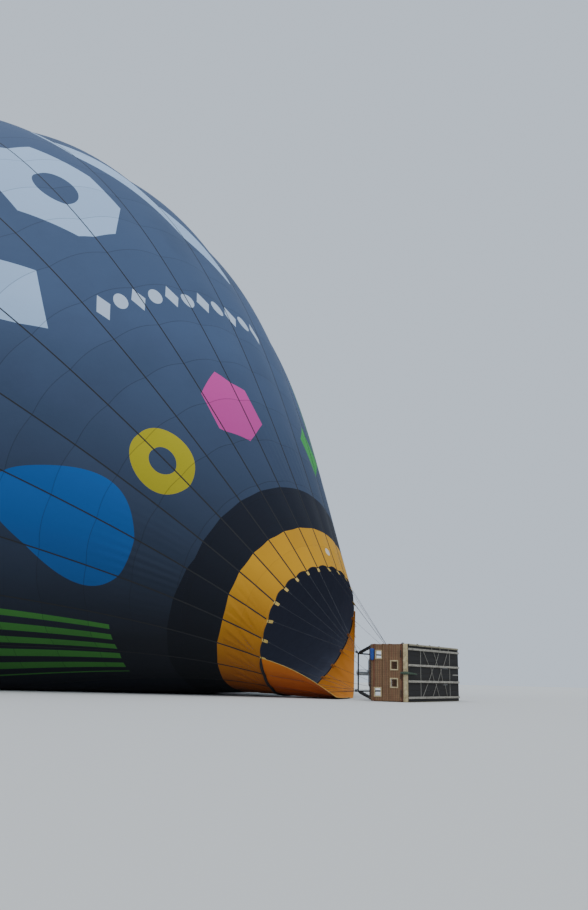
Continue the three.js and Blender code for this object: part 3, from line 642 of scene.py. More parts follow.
def wicker_material():
    """Cane: brown tones that change from strand to strand, with stains and redder bands."""
    m = Material("wicker_cane", rough=0.6)
    x, y, z = m.place()
    strand = ((x / CANE_PITCH).floor() * 0.731).sin().abs()
    base = m.mix(strand, srgb(92, 68, 44), srgb(142, 108, 74))
    base = m.mix(((m.noise(5.0, 4.0) - 0.4) * 2.2).clamp() * 0.6, base, srgb(84, 56, 36))
    for at, width in RED_BANDS:
        base = m.mix((x - at).abs().less(width) * 0.6, base, srgb(112, 50, 34))
    rows = ((y + z) / STAKE_PITCH).fract().less(0.22) * 0.5
    base = m.mix(rows, base, srgb(70, 44, 30))
    m.color(base)
    m.bump(m.noise(60.0, 3.0), 0.3, 0.002)
    return m.mat


wicker = wicker_material()


# Envelope bands; CREASED is the depth of the slack folds in each gore, as a share of the deepest
CREASED = {
    4: 0.3, 5: 0.7, 6: 1.0, 7: 0.7, 8: 0.9, 9: 0.7, 10: 0.7,
    11: 0.6, 12: 0.5, 13: 0.5, 14: 0.4, 15: 0.4, 16: 0.3,
}


def gore_of(angle):
    g = ((angle - TAPE0) / GORE) % GORES
    k = np.floor(g + 1e-6)
    return k, np.clip(g - k, 0, 1)


def mouth_creases(u, angle):
    """Fans of slack folds that start at the hem's lower corner of each gore on the ground side."""
    k, t = gore_of(angle)
    amount = np.vectorize(lambda n: CREASED.get(int(n), 0.06))(k)
    v = u / YELLOW_END
    fan = np.arctan2(v + 0.06, 1.04 - t)
    window = np.sin(math.pi * np.clip(t, 0, 1)) ** 0.6 * np.clip(v * 3, 0, 1) * np.clip((1 - v) * 6, 0, 1)
    height = 0.024
    return height * amount * window * (np.sin(fan * 17 + k) + 0.4 * np.sin(fan * 37))


def lower_creases(u, angle):
    """Slanting folds beside the tapes, strongest above the dark band on the ground side."""
    k, t = gore_of(angle)
    amount = np.exp(-(((k - 5) / 0.9) ** 2)) + 0.4 * np.exp(-(((k - 22.5) / 1.2) ** 2))
    along = u - BLACK_END
    near_band = np.exp(-((along - 0.9) / 1.1) ** 2) * np.clip(along * 4, 0, 1)
    height = 0.016
    return height * amount * near_band * np.sin(2 * math.pi * (5 * t - 0.5 * along)) * np.sin(math.pi * t)


def scallop(angle):
    """Distance of the mouth's edge from its plane: hollow between tapes, drawn forward on the near side."""
    k, t = gore_of(angle)
    g = k + t
    hollow, drawn = 0.042, 0.13
    deep = np.where((k >= 7) & (k < 19), 0.0, hollow)
    return deep * np.abs(np.sin(math.pi * t)) ** 0.8 - drawn * np.exp(-(((g - 5.4) / 1.3) ** 2))


def envelope_piece(name, us, material, cad, per_gore=12, swell=None, edge=None, thick=0.008):
    """Band of the envelope; swell is the folds' height and edge the line of its mouth side."""
    angles = TAPE0 + full_turn(GORES * per_gore)
    uu, aa = np.meshgrid(us, angles, indexing="ij")
    if edge is not None:
        uu = edge(aa) + (uu - us[0]) * (us[-1] - edge(aa)) / (us[-1] - us[0])
    n = normal(uu, aa)
    outer = cloth(uu, aa) + n * (0 if swell is None else swell(uu, aa)[..., None])
    obj = shell(name, us, angles, outer, outer - thick * n, arc(uu))
    dress(obj, [material, inside_painted_glow], "body", cad)


SEAT = 0.0003
UPPER_END = crown_at(8.5)
SHOULDER_END = CONE + CROWN * math.sin(math.asin((UPPER_END - CONE) / CROWN) / 2)


def crown_us(a, b, n):
    return CONE + CROWN * np.sin(np.linspace(math.asin((a - CONE) / CROWN), math.asin((b - CONE) / CROWN), n))


def halves(name):
    return [f"envelope_{name}_{half}" for half in ("near", "far")]


mouth_us = np.linspace(0, YELLOW_END - SEAT, 22)
envelope_piece(
    "mouth_band", mouth_us, yellow_cloth, ["envelope_mouth_band"], 24, mouth_creases, scallop
)
dark_us = np.linspace(YELLOW_END, BLACK_END - SEAT, 12)
envelope_piece("dark_band", dark_us, black_cloth, ["envelope_dark_band"])
lower_us = np.linspace(BLACK_END, LOWER_END - SEAT, 60)
envelope_piece("lower_gores", lower_us, slate_cloth, halves("lower_gores"), 24, lower_creases)
SLATE_BANDS = (
    ("waist_gores", np.linspace(LOWER_END, WAIST_END - SEAT, 26)),
    ("middle_gores", np.linspace(WAIST_END, CONE - SEAT, 26)),
    ("shoulder_gores", crown_us(CONE, SHOULDER_END - SEAT, 20)),
    ("upper_gores", crown_us(SHOULDER_END, UPPER_END - SEAT, 20)),
    ("crown_gores", crown_us(UPPER_END, crown_at(VENT_R), 24)),
)
for band, us in SLATE_BANDS:
    envelope_piece(band, us, slate_cloth, halves(band))


# Vent valve, a cloth disc held under the crown opening
VALVE_R, VALVE_MIDDLE = 3.3, 0.12


def vent_valve():
    us = crown_us(crown_at(VALVE_R), crown_at(VALVE_MIDDLE), 22)
    angles = TAPE0 + full_turn(GORES * 6)
    uu, aa = np.meshgrid(us, angles, indexing="ij")
    n, p = normal(uu, aa), cloth(uu, aa)
    top, under = p - n * 0.017, p - n * 0.024
    obj = shell("vent_valve_cloth", us, angles, top, under, arc(uu))
    dress(obj, [slate_cloth, inside_painted_glow], "vent", ["vent_valve"])
    patch = Build()
    middle = top[-1].mean(0)
    out = normal(np.array([crown_at(VALVE_MIDDLE)]), np.array([0.0]))[0]
    patch.lathe([(0.0, -0.012), (0.16, -0.012), (0.16, -0.004), (0.0, -0.004)], middle, out, 32)
    patch.done("vent_centre_patch", [tape_black], body="vent", slot="webbing")


vent_valve()


# Load tapes: narrow webbing down each seam
def load_tapes():
    us = np.concatenate([np.linspace(0, CONE, 110), crown_us(CONE, crown_at(VENT_R), 60)[1:]])
    build = Build()
    half, thick, lift = 0.02, 0.004, 0.001
    section = ((-1, 0.0), (-1, 1.0), (1, 1.0), (1, 0.0))
    for k in range(GORES):
        angle = TAPE0 + k * GORE
        p, n = cloth(us, angle), normal(us, angle)
        across = np.cross(np.gradient(p, axis=0), n)
        across /= np.linalg.norm(across, axis=1, keepdims=True)
        verts = []
        for point, side, out in zip(p, across, n):
            verts += [point + side * half * a + out * (lift + thick * b) for a, b in section]
        build.add(verts, run_faces(len(us), len(section)))
    build.done("load_tapes", [tape_black], slot="webbing")


load_tapes()

# Mouth: hem cord, webbing tabs on the load tapes
FRAME_X = BASKET_X - 2.01
FRAME_Y0, FRAME_Y1, FRAME_Z0, FRAME_Z1 = 0.64, 3.0, -8.84, -7.74
CORNERS = {
    "near_top": np.array([FRAME_X, FRAME_Y0, FRAME_Z1]),
    "near_bottom": np.array([FRAME_X, FRAME_Y0, FRAME_Z0]),
    "far_bottom": np.array([FRAME_X, FRAME_Y1, FRAME_Z0]),
    "far_top": np.array([FRAME_X, FRAME_Y1, FRAME_Z1]),
}
TAPES_PER_CORNER = GORES // 4


def hem_point(u, angle):
    return (cloth(u, angle) - 0.005 * normal(u, angle))[0]


def mouth_edge():
    fine = TAPE0 + full_turn(GORES * 16)
    edge = scallop(fine)
    points = cloth(edge, fine) - 0.004 * normal(edge, fine)
    build = Build()
    build.tube(points, 0.011, 8, closed=True, mat=0)
    cable_at = 0.31
    for i, corner in enumerate(CORNERS.values()):
        for k in range(i * TAPES_PER_CORNER, (i + 1) * TAPES_PER_CORNER):
            angle = np.array([TAPE0 + k * GORE])
            rim = scallop(angle)
            start, flat_start = hem_point(rim, angle), hem_point(np.zeros(1), angle)
            end = flat_start + unit(corner - flat_start) * cable_at
            way = unit(end - start)
            across = unit((cloth(rim, angle + 0.01) - cloth(rim, angle - 0.01))[0])
            face = unit(np.cross(way, across))
            behind_scoop = 8 <= k <= 18
            reach = 0.1 if behind_scoop else 0.14
            verts = []
            for d, half in ((-0.05, 0.048), (0.0, 0.048), (reach - 0.03, 0.046), (reach, 0.036)):
                for a, b in ((-1, -1), (-1, 1), (1, 1), (1, -1)):
                    verts.append(start + way * d + across * half * a + face * 0.004 * b)
            build.add(verts, run_faces(4, 4), 2 if behind_scoop else 1)
            build.tube([start + way * (reach - 0.01), end], 0.007, 6, mat=3)
    build.done(
        "mouth_hem_and_tabs_cloth", [tape_black, tab_yellow, tab_orange, cable_grey],
        cad=["mouth_hem_and_tabs"], slot="yellow_cloth",
    )


mouth_edge()


# Scoop: cloth apron before the lower and far part of the hem
def spline(points, t):
    """Centripetal spline through the points, at values t from 0 to 1, with equal parts between them."""
    points = np.asarray(points, float)
    grown = np.vstack([2 * points[0] - points[1], points, 2 * points[-1] - points[-2]])
    out = []
    for value in t:
        x = value * (len(points) - 1)
        i = min(int(x), len(points) - 2)
        w = x - i
        p0, p1, p2, p3 = grown[i : i + 4]
        d0, d1, d2 = (max(1e-4, np.linalg.norm(b - a) ** 0.5) for a, b in ((p0, p1), (p1, p2), (p2, p3)))
        t1 = ((p1 - p0) / d0 - (p2 - p0) / (d0 + d1) + (p2 - p1) / d1) * d1
        t2 = ((p2 - p1) / d1 - (p3 - p1) / (d1 + d2) + (p3 - p2) / d2) * d1
        a, b = -2 * (p2 - p1) + t1 + t2, 3 * (p2 - p1) - 2 * t1 - t2
        out.append(p1 + t1 * w + b * w * w + a * w**3)
    return np.array(out)


def scoop():
    first, last = 14, 37
    turn = np.linspace(0, 1, 185)
    angles = TAPE0 + (first + (last - first) * turn) * math.pi / GORES
    n = normal(np.zeros_like(angles), angles)
    start = cloth(np.zeros_like(angles), angles) + n * SEAT - AXIS * 0.0126
    edge = spline(
        [
            (FRAME_X - 0.63, 0.43, GROUND + 0.06),
            (FRAME_X - 0.75, 1.0, GROUND + 0.04),
            (FRAME_X - 1.05, 1.9, GROUND + 0.04),
            (FRAME_X - 1.55, 3.1, GROUND + 0.08),
            (FRAME_X - 2.0, 3.95, GROUND + 1.3),
            start[-1] + AXIS * -0.06,
        ],
        turn,
    )
    rows = np.linspace(0, 1, 30)
    grid = start[None] * (1 - rows[:, None, None]) + edge[None] * rows[:, None, None]
    wave = np.sin(turn * 58)[None] * 0.6 + np.sin(turn * 131 + 4 * rows[:, None]) * 0.35
    sag = np.sin(math.pi * rows)[:, None] * (0.03 * wave + 0.02)
    reach = np.linalg.norm(edge - start, axis=1)[None]
    grid = grid + n[None] * (sag * np.clip(reach / 1.5, 0, 1))[..., None]
    near_edge = np.exp(-((turn / 0.12) ** 2))[None] * np.sin(math.pi * rows)[:, None]
    grid[..., 2] += 0.16 * near_edge
    grid[..., 2] = np.maximum(grid[..., 2], GROUND + 0.004)
    outer = grid + n[None] * 0.006
    outer[..., 2] = np.maximum(outer[..., 2], GROUND + 0.002)
    s_values = rows[:, None] * reach
    obj = shell("scoop_cloth", rows, angles, outer, grid, s_values, closed=False)
    dress(obj, [scoop_cloth, scoop_inside], "body", ["scoop"])
    # Dark seam over the joint, a bound free edge, and small loops on it
    seam = Build()
    width = np.interp(turn[:-6], [0, 0.03, 0.22, 0.4], [0.02, 0.05, 0.05, 0.014])
    seam.tube(start[:-6] + n[:-6] * 0.012, width, 10)
    seam.done("scoop_seam", [tape_black], slot="webbing")
    hem = Build()
    hem.tube(grid[-1] + n * 0.003, 0.007, 8)
    hem.tube(grid[:, 0] + n[0] * 0.003, 0.007, 8)
    for i in (150, 158, 166, 174):
        out = unit(grid[-1][i] - grid[-3][i])
        along = unit(grid[-1][i + 1] - grid[-1][i - 1])
        a = full_turn(12)[:, None]
        loop = grid[-1][i] + out * (0.04 - 0.04 * np.cos(a)) + along * 0.035 * np.sin(a)
        hem.tube(loop, 0.006, 6, closed=True)
    hem.done("scoop_edge_binding", [tab_yellow], slot="yellow_cloth")


scoop()

# Basket
BASKET_L, BASKET_W = 3.64, 1.6
Z0, Z1 = GROUND + 0.012, GROUND + 1.612
WALL = 0.03
FLOOR_X1 = BASKET_X - 0.045
FLOOR_X0 = FLOOR_X1 - 0.018
RIM_R, RIM_SIDE, RIM_LOW = 0.036, 0.028, 0.036
RIM_X = BASKET_X - 1.3 + RIM_R
WALL_X0, WALL_X1 = RIM_X + RIM_R * math.cos(math.pi / 8) + SEAT, FLOOR_X0 - SEAT
# Step holes in each end wall: place along X and Z, size along X and Z
STEP_HOLES = (
    (0.165, 1.3, 0.165, 0.19),
    (0.655, 1.002, 0.19, 0.215),
    (0.645, 0.51, 0.19, 0.21),
    (0.125, 0.25, 0.18, 0.2),
)


def woven_wall(name, cad, low, high, across, run, holes=()):
    """Canes along axis run, in and out of stakes along X; across is the wall's thickness axis."""
    push, half, high_half, stake = 0.0065, 0.005, 0.0098, 0.0048

    def at(x, along, side):
        v = [0, 0, 0]
        v[0], v[run], v[across] = x, along, side
        return v

    middle = (low[across] + high[across]) / 2
    stakes = np.arange(low[run] + STAKE_PITCH / 2, high[run], STAKE_PITCH)
    build = Build()
    for r in stakes:
        cuts = sorted((x0, x1) for x0, x1, r0, r1 in holes if r0 < r < r1)
        start = low[0]
        for x0, x1 in cuts + [(high[0], None)]:
            build.tube([at(start, r, middle), at(x0, r, middle)], stake, 6)
            start = x1
    section = ((0.0, 1.0), (1.0, 0.0), (0.0, -1.0), (-1.0, 0.0))
    for i, x in enumerate(np.arange(low[0] + CANE_PITCH / 2, high[0] - CANE_PITCH / 3, CANE_PITCH)):
        cuts = sorted((r0, r1) for x0, x1, r0, r1 in holes if x0 < x < x1)
        start = low[run]
        for r0, r1 in cuts + [(high[run], None)]:
            bends = range(math.ceil(start / STAKE_PITCH * 2), math.floor(r0 / STAKE_PITCH * 2) + 1)
            inner = np.array(bends) * STAKE_PITCH / 2
            runs = np.concatenate([[start], inner[(inner > start + 0.004) & (inner < r0 - 0.004)], [r0]])
            phase = np.cos((runs - low[run]) / STAKE_PITCH * math.pi + math.pi / 2)
            offset = push * phase * (1 if i % 2 else -1)
            verts = [
                at(x + a * high_half, rr, middle + o + b * half)
                for rr, o in zip(runs, offset)
                for a, b in section
            ]
            build.add(verts, run_faces(len(runs), len(section)))
            start = r1
    build.done(name, [wicker], cad=[cad], slot="wicker", crease=120)


end_holes = [(WALL_X0 + x, WALL_X0 + x + w, Z0 + z - h / 2, Z0 + z + h / 2) for x, z, w, h in STEP_HOLES]
woven_wall("wicker_low", "basket_wall_low", (WALL_X0, 0, Z0), (WALL_X1, BASKET_L, Z0 + WALL), 2, 1)
woven_wall("wicker_high", "basket_wall_high", (WALL_X0, 0, Z1 - WALL), (WALL_X1, BASKET_L, Z1), 2, 1)
for side, y in (("near", 0.0), ("far", BASKET_L - WALL)):
    low, high = (WALL_X0, y, Z0), (WALL_X1, y + WALL, Z1)
    woven_wall(f"wicker_end_{side}", f"basket_end_wall_{side}", low, high, 1, 2, end_holes)
    frames = Build()
    border = 0.034
    ya, yb = y - 0.005, y + WALL + 0.005
    for x0, x1, z0, z1 in end_holes:
        frames.bar((x0 - border, ya, z0 - border), (x1 + border, yb, z0), 0.003, 0)
        frames.bar((x0 - border, ya, z1), (x1 + border, yb, z1 + border), 0.003, 0)
        frames.bar((x0 - border, ya, z0), (x0, yb, z1), 0.003, 2)
        frames.bar((x1, ya, z0), (x1 + border, yb, z1), 0.003, 2)
    frames.done(f"step_hole_frames_{side}", [hide], slot="hide")


def perimeter(offset, corner=0.09, steps=8, y0=0.0, y1=BASKET_L, z0=Z0, z1=Z1):
    """Rounded rectangle in the plane across X, the basket's own unless told, and its outward directions."""
    path, out = [], []
    r = corner + offset
    y0, y1, z0, z1 = y0 + corner, y1 - corner, z0 + corner, z1 - corner
    for cy, cz, quarter in ((y1, z1, 0), (y0, z1, 1), (y0, z0, 2), (y1, z0, 3)):
        for i in range(steps + 1):
            a = (quarter + i / steps) * math.pi / 2
            path.append((0, cy + r * math.cos(a), cz + r * math.sin(a)))
            out.append((0, math.cos(a), math.sin(a)))
    return np.array(path), np.array(out)


def padded_rim():
    path, out = perimeter(0, 0.09, 10, RIM_SIDE, BASKET_L - RIM_SIDE, Z0 + RIM_LOW, Z1 - RIM_SIDE)
    profile = [(RIM_R * math.cos(a), RIM_R * math.sin(a)) for a in full_turn(16)]
    rim = Build().sweep(path + (RIM_X, 0, 0), out, profile).done(
        "rim_padding", [rim_leather], cad=["basket_rim_padding"], slot="dark_leather"
    )
    lacing = Build()
    gaps = np.linalg.norm(np.diff(np.vstack([path, path[:1]]), axis=0), axis=1)
    length = np.concatenate([[0], np.cumsum(gaps)])
    at = np.linspace(0, 1, 1500) * length[-1]
    ring_p, ring_o = (
        np.stack([np.interp(at, length, np.append(of[:, i], of[0, i])) for i in range(3)], 1)
        for of in (path, out)
    )
    a = (at / 0.13 * 2 * math.pi)[:, None]
    reach = RIM_R + 0.002
    spiral = ring_p + (RIM_X, 0, 0) + ring_o * (reach * np.cos(a)) + np.sin(a) * reach * (1, 0, 0)
    lacing.tube(spiral[:-1], 0.003, 6, closed=True)
    lacing.done("rim_lacing", [rope], slot="hide")


padded_rim()

band_path, band_out = perimeter(0.0, 0.012, 4)
BAND_X0 = FLOOR_X1 - 0.15
band = Build()
band.sweep(
    band_path, band_out,
    [
        (0.0004, BAND_X0 + 0.001), (0.006, BAND_X0 + 0.001), (0.0083, BAND_X0 + 0.005),
        (0.0083, FLOOR_X1 - 0.004), (0.006, FLOOR_X1), (0.0004, FLOOR_X1),
    ],
)
band.done("leather_band", [hide], cad=["basket_leather_band"], slot="hide")
stitches = Build()
for y in np.arange(0.03, BASKET_L, 0.03):
    for x in (BAND_X0 + 0.013, FLOOR_X1 - 0.012):
        stitches.bar((x - 0.002, y, Z1 + 0.0078), (x + 0.002, y + 0.018, Z1 + 0.0105), 0.0008, 1)
for z in np.arange(Z0 + 0.03, Z1 - 0.03, 0.03):
    for x in (BAND_X0 + 0.013, FLOOR_X1 - 0.012):
        stitches.bar((x - 0.002, -0.0105, z), (x + 0.002, -0.0078, z + 0.018), 0.0008, 2)
stitches.done("leather_band_stitches", [rope], slot="hide")

# Ropes woven round the basket: place along X and finish
wales = Build()
for x, mat in ((14.915, 0), (15.19, 1), (15.4, 1), (15.795, 0), (15.845, 2)):
    path, out = perimeter(0.0055, 0.012, 4)
    wales.tube(path + (x, 0, 0), 0.0055, 8, closed=True, mat=mat)
wales.done("rope_wales", [red_rope, rope, dark_rope], slot="wicker")

HANDLE_R, HANDLE_ARC = 0.013, 15
handles = Build()
bow = np.sin(np.linspace(0, math.pi, HANDLE_ARC))
for z in (0.12, 0.62, 1.22):
    for y, sign in ((0.0, -1), (BASKET_L, 1)):
        zz = np.linspace(Z0 + z, Z0 + z + 0.2, HANDLE_ARC)
        path = [(BAND_X0 - 0.07 + 0.02 * b, y + sign * (0.014 + 0.045 * b), q) for q, b in zip(zz, bow)]
        handles.tube(path, HANDLE_R, 8)
for y in (0.5, 1.5, 2.4, 3.1):
    yy = np.linspace(y, y + 0.22, HANDLE_ARC)
    handles.tube([(BASKET_X - 0.5, q, Z1 + 0.012 + 0.045 * b) for q, b in zip(yy, bow)], HANDLE_R, 8)
handles.done("rope_handles", [dark_rope], slot="wicker")

planks = Build()
PLANKS, PLANK_GAP = 10, 0.0015
for i in range(PLANKS):
    z = Z0 + i * BASKET_W / PLANKS
    top = z + BASKET_W / PLANKS - PLANK_GAP
    planks.bar((FLOOR_X0, 0, z + PLANK_GAP), (FLOOR_X1, BASKET_L, top), 0.003, 1)
planks.done("floor_boards", [boards], cad=["basket_floor"], slot="boards")
RUNNER_Z, RUNNER_HALF = [0.11, 0.56, 1.01, 1.46], 0.03
SCREW = [(0.0, 0.0), (0.011, 0.0), (0.011, 0.003), (0.0, 0.004)]
for i, z in enumerate(RUNNER_Z):
    runner = Build()
    low, high = Z0 + z - RUNNER_HALF, Z0 + z + RUNNER_HALF
    runner.bar((FLOOR_X1 + SEAT, 0.02, low), (BASKET_X, BASKET_L - 0.02, high), 0.008, 1)
    for y in np.arange(0.2, BASKET_L, 0.46):
        runner.lathe(SCREW, (BASKET_X - 0.001, y, Z0 + z), (1, 0, 0), 12, 1)
    runner.done(f"runner_{i + 1}", [runner_wood, dark_steel], cad=[f"floor_runner_{i + 1}"], slot="runners")

# Wire ropes laced across the floor between the runners: bay, start and end along the basket
LACING = (
    (2, 0.28, 0.38), (2, 0.48, 0.555), (2, 0.587, 0.512), (2, 0.76, 0.68),
    (1, 0.471, 0.383), (1, 0.42, 0.48), (1, 0.645, 0.562), (1, 0.61, 0.653),
    (0, 0.364, 0.264), (0, 0.537, 0.455), (0, 0.51, 0.58), (0, 0.694, 0.744),
)
ropes = Build()
for bay, upper, lower in LACING:
    top, foot = Z0 + RUNNER_Z[bay + 1] - RUNNER_HALF, Z0 + RUNNER_Z[bay] + RUNNER_HALF
    ends = [(FLOOR_X1 + 0.012, upper * BASKET_L, top), (FLOOR_X1 + 0.012, lower * BASKET_L, foot)]
    ropes.tube(ends, 0.009, 8)
for y in (0.23 * BASKET_L, 0.81 * BASKET_L):
    for low, high in zip(RUNNER_Z, RUNNER_Z[1:]):
        start = (FLOOR_X1 + 0.001, y - 0.014, Z0 + low + RUNNER_HALF)
        ropes.bar(start, (FLOOR_X1 + 0.009, y + 0.014, Z0 + high - RUNNER_HALF), 0.002, 2)
ropes.bar((FLOOR_X1 + 0.001, 3.18, Z0 + 0.76), (FLOOR_X1 + 0.012, 3.6, Z0 + 0.80), 0.003, 1)
ropes.done("floor_wire_ropes", [pale_rope], slot="runners")

roll = Build()
ys = np.linspace(0.06, BASKET_L - 0.06, 90)
tight = 0.0235 - 0.0035 * np.exp(-((((ys + 0.15) % 0.5) - 0.25) / 0.02) ** 2)
roll.tube([(FLOOR_X1 + 0.0237, y, Z1 - 0.025) for y in ys], tight, 14)
rolled = roll.done("edge_roll", [roll_cloth], cad=["floor_edge_roll"], slot="runners")
rungs = Build()
for y in (1.62, 2.22, 2.86):
    rungs.bar((FLOOR_X1 + 0.004, y - 0.014, Z0 + 1.49), (FLOOR_X1 + 0.02, y + 0.014, Z1 - 0.04), 0.003, 2)
strap = np.array([
    (-0.26, -0.036, 0.79), (-0.13, -0.044, 0.79), (-0.03, -0.036, 0.79),
    (-0.015, 0.0, 0.785), (-0.01, 0.48, 0.765),
]) + (BASKET_X, 0, Z0)
rungs.tube(strap, (0.02, 0.045, 0.04, 0.034, 0.022), 12, mat=1)
rungs.done("edge_rungs_and_strap", [pale_rope, green_web], slot="runners")


# Pouch on the near end wall
def soft_box(low, high, power=4.0, cuts=10):
    """Box with rounded sides, as a filled cloth bag."""
    bm = bmesh.new()
    bmesh.ops.create_cube(bm, size=2.0)
    bmesh.ops.subdivide_edges(bm, edges=bm.edges, cuts=cuts, use_grid_fill=True)
    low, high = np.array(low, float), np.array(high, float)
    verts = []
    for v in bm.verts:
        c = np.array(v.co)
        c = c / (np.abs(c) ** power).sum() ** (1 / power)
        verts.append((low + high) / 2 + c * (high - low) / 2)
    faces = [[v.index for v in f.verts] for f in bm.faces]
    bm.free()
    return verts, faces


pouch = Build()
pouch.add(*soft_box((WALL_X0 + 0.005, -0.07, Z1 - 0.46), (WALL_X0 + 0.115, -0.0004, Z1 - 0.13)))
pouch.add(*soft_box((WALL_X0, -0.074, Z1 - 0.24), (WALL_X0 + 0.12, -0.004, Z1 - 0.128), 6.0, 6))
pouch_piece = pouch.done("tool_pouch", [pouch_blue], cad=["wall_pouch"], slot="pouch_cloth", crease=80)

# Uprights in padded sleeves with two fuel hoses strapped to each
RIM_FACE = RIM_X - RIM_R * math.cos(math.pi / 8) - SEAT
POST_Y, POST_R = 0.26, 0.014
UPRIGHTS = {
    "near_top": (POST_Y, Z1 - RIM_SIDE),
    "near_bottom": (POST_Y, Z0 + RIM_LOW),
    "far_top": (BASKET_L - POST_Y, Z1 - RIM_SIDE),
    "far_bottom": (BASKET_L - POST_Y, Z0 + RIM_LOW),
}
for name, (y, z) in UPRIGHTS.items():
    head = CORNERS[name]
    foot = np.array([RIM_FACE, y, z])
    lean = unit(head - foot)
    foot[0] -= POST_R * math.hypot(lean[1], lean[2])
    way = unit(head - foot)
    length = np.linalg.norm(head - foot) - 0.031
    post = Build()
    post.tube([foot, foot + way * length], POST_R, 14, mat=1)
    d = np.linspace(0.045, length - 0.045, 60)
    width = 0.046 + 0.002 * np.sin(d * 47) + 0.001 * np.sin(d * 91)
    width[0] = width[-1] = 0.02
    post.tube([foot + way * q for q in d], width, 18)
    across = unit(np.cross(way, (0, 0, 1)))
    hose = np.linspace(0.06, length - 0.06, 12)
    for side in (-1, 1):
        post.tube([foot + way * q + across * side * 0.05 for q in hose], 0.011, 10, mat=2)
    for q in np.linspace(0.14, length - 0.14, 4):
        post.tube([foot + way * (q - 0.02), foot + way * (q + 0.02)], 0.05, 18, mat=3)
    finishes = [black_sleeve, steel, black_sleeve, tape_black]
    post.done(f"sleeve_{name}", finishes, cad=[f"upright_{name}"], slot="dark_leather")

# Burner frame: four tubes with a lug and a shackle at each corner
FRAME_TUBE = 0.022
tubes = Build()
order = list(CORNERS.values())
for a, b in zip(order, order[1:] + order[:1]):
    tubes.tube([a, b], FRAME_TUBE, 20)
for p in order:
    tubes.ball(p, 0.030, 20)
    way = unit(MOUTH - p)
    side = unit(np.cross(way, (0, 0, 1)))
    shackle = [p + way * (0.045 + 0.035 * math.cos(t)) + side * 0.022 * math.sin(t) for t in full_turn(20)]
    tubes.tube(shackle, 0.006, 8, closed=True, mat=1)
for y in (1.1, 2.5):
    tubes.tube([(FRAME_X, y, FRAME_Z1 - 0.02), (FRAME_X, y, FRAME_Z1 + 0.02)], 0.03, 16, mat=2)
tubes.done("burner_frame_tubes", [dark_steel, steel, tape_black], cad=["burner_frame"], slot="frame_paint")

# Gimbal ring and burner
BURNER_Y, BURNER_Z = 1.82, -8.29
RING_Y, RING_Z, RING_TUBE, PIN_R, PIN_GAP = 0.52, 0.4, 0.016, 0.012, 0.0006
ring = Build()
path, _ = perimeter(0, 0.06, 6, BURNER_Y - RING_Y, BURNER_Y + RING_Y, BURNER_Z - RING_Z, BURNER_Z + RING_Z)
ring.tube(path + (FRAME_X, 0, 0), RING_TUBE, 14, closed=True)
for sign, end in ((-1, FRAME_Y0 + FRAME_TUBE + PIN_GAP), (1, FRAME_Y1 - FRAME_TUBE - PIN_GAP)):
    ring.tube([(FRAME_X, BURNER_Y + sign * RING_Y, BURNER_Z), (FRAME_X, end, BURNER_Z)], PIN_R, 14)
    y = BURNER_Y + sign * 0.58
    ring.tube([(FRAME_X, y - 0.03, BURNER_Z), (FRAME_X, y + 0.03, BURNER_Z)], 0.022, 16)
ring.done("gimbal_tubes", [steel], body="gimbal", cad=["gimbal_ring"], slot="steel")

# Lathed forms of the burner: (radius, height) from the foot up
CAN_STEP = (-0.285, -0.095, 0.095, 0.285)
NOZZLE = [(0.0, 0.0), (0.04, 0.0), (0.04, 0.02), (0.03, 0.03), (0.03, 0.1), (0.04, 0.13), (0.0, 0.13)]
VALVE = [(0.0, 0.0), (0.022, 0.0), (0.022, 0.05), (0.012, 0.055), (0.012, 0.08), (0.0, 0.08)]
GAUGE = [(0.0, 0.0), (0.03, 0.0), (0.03, 0.018), (0.026, 0.02), (0.0, 0.02)]
CAN = [
    (0.0, 0.0), (0.06, 0.0), (0.088, 0.06), (0.088, 0.345), (0.0895, 0.35),
    (0.0895, 0.36), (0.08, 0.36), (0.08, 0.066), (0.056, 0.01), (0.0, 0.01),
]


def circle(x, y, z, r, turn):
    """Points round a place in the plane across X; x may change from point to point."""
    return np.stack([x + 0 * turn, y + r * np.cos(turn), z + r * np.sin(turn)], 1)


block = Build()
low = (FRAME_X - 0.04, BURNER_Y - 0.38, BURNER_Z - 0.045)
block.bar(low, (FRAME_X + 0.04, BURNER_Y + 0.38, BURNER_Z + 0.045), 0.01, 1)
pin = RING_Z - RING_TUBE - PIN_GAP
block.tube([(FRAME_X, BURNER_Y, BURNER_Z - pin), (FRAME_X, BURNER_Y, BURNER_Z + pin)], PIN_R, 14)
for dy in CAN_STEP:
    y = BURNER_Y + dy
    block.lathe(NOZZLE, (FRAME_X - 0.03, y, BURNER_Z), (-1, 0, 0), 24)
    block.lathe(VALVE, (FRAME_X + 0.038, y - 0.03, BURNER_Z), (1, 0, 0), 16, 1)
    low, high = (FRAME_X + 0.06, y - 0.012, BURNER_Z - 0.01), (FRAME_X + 0.078, y + 0.012, BURNER_Z + 0.09)
    block.bar(low, high, 0.004, 2, 2)
    block.lathe(GAUGE, (FRAME_X + 0.038, y + 0.05, BURNER_Z + 0.02), (1, 0, 0), 24, 1)
block.done("burner_manifold", [steel, brass, red_paint], body="burner", cad=["burner_block"], slot="steel")
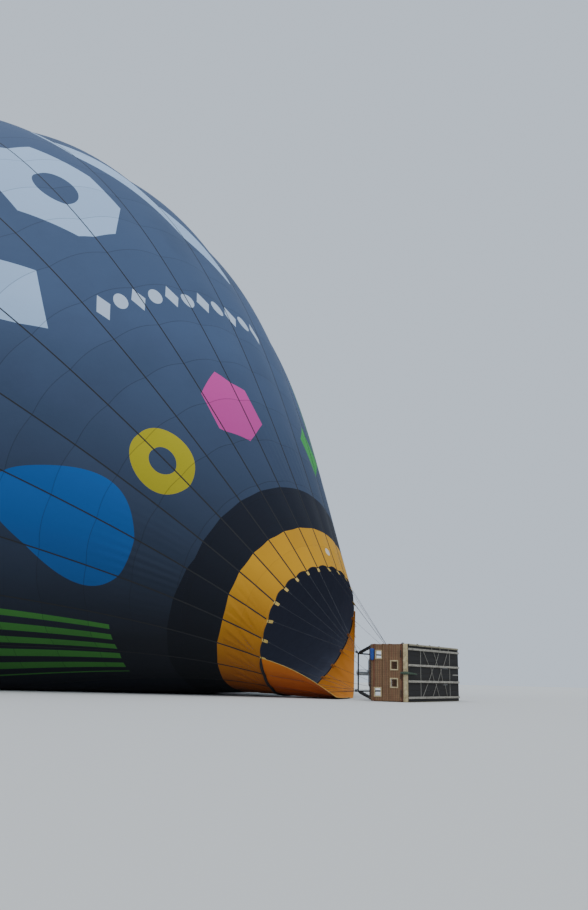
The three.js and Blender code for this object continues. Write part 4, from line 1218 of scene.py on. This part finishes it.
for i, dy in enumerate(CAN_STEP):
    can = Build()
    x, y, z = origin = (FRAME_X - 0.1603, BURNER_Y + dy, BURNER_Z)
    can.lathe(CAN, origin, (-1, 0, 0), 40)
    winding = np.linspace(0, 7 * 2 * math.pi, 190)
    can.tube(circle(x - 0.05 - 0.04 * winding / (2 * math.pi), y, z, 0.062, winding), 0.0065, 8, mat=1)
    can.tube(circle(x - 0.03, y, z, 0.03, full_turn(16)), 0.006, 8, closed=True, mat=1)
    name = f"burner_can_{i + 1}"
    can.done(name + "_coil", [steel, brass], body="burner", cad=[name], slot="steel")

# Gas cylinders with straps, collar and tap
PILOT_Y0, PILOT_Y1, TANK_SIDE, TANK_EDGE, TANK_R = 1.3, 2.34, 0.171, 0.203, 0.165
TANK = [
    (0.0, 0.0), (0.132, 0.0), (0.15, 0.02), (TANK_R, 0.06), (TANK_R, 0.67), (0.158, 0.70),
    (0.13, 0.725), (0.06, 0.74), (0.03, 0.745), (0.03, 0.78), (0.0, 0.78),
]
COLLAR = [(0.108, 0.725), (0.1155, 0.725), (0.1155, 0.82), (0.108, 0.82)]
TAP = [(0.0, 0.78), (0.035, 0.78), (0.035, 0.80), (0.0, 0.805)]
TANK_Y = (PILOT_Y0 + TANK_SIDE, PILOT_Y1 - TANK_SIDE)
for i, (z, y) in enumerate((z, y) for z in (Z0 + TANK_EDGE, Z1 - TANK_EDGE) for y in TANK_Y):
    tank = Build()
    origin, up = (FLOOR_X0 - SEAT, y, z), (-1, 0, 0)
    tank.lathe(TANK, origin, up, 40)
    tank.lathe(COLLAR, origin, up, 36, 0)
    tank.lathe(TAP, origin, up, 20, 1)
    for h in (0.2, 0.5):
        belt = [(TANK_R, h), (0.1675, h), (0.1675, h + 0.04), (TANK_R, h + 0.04)]
        tank.lathe(belt, origin, up, 40, 2)
    finishes = [aluminium, brass, tape_black]
    tank.done(f"tank_{i + 1}", finishes, cad=[f"gas_cylinder_{i + 1}"], slot="aluminium")

# Carried-over nodes take their finish here
CARRIED = {"crown_ring_and_tapes": tape_black}
CARRIED.update({f"partition_{run}_{side}": wicker for run in ("cross", "long") for side in ("near", "far")})
CARRIED.update({f"flying_cables_{corner}": cable_grey for corner in CORNERS})
for name, mat in CARRIED.items():
    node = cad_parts[name]
    node.data.materials.clear()
    node.data.materials.append(mat)
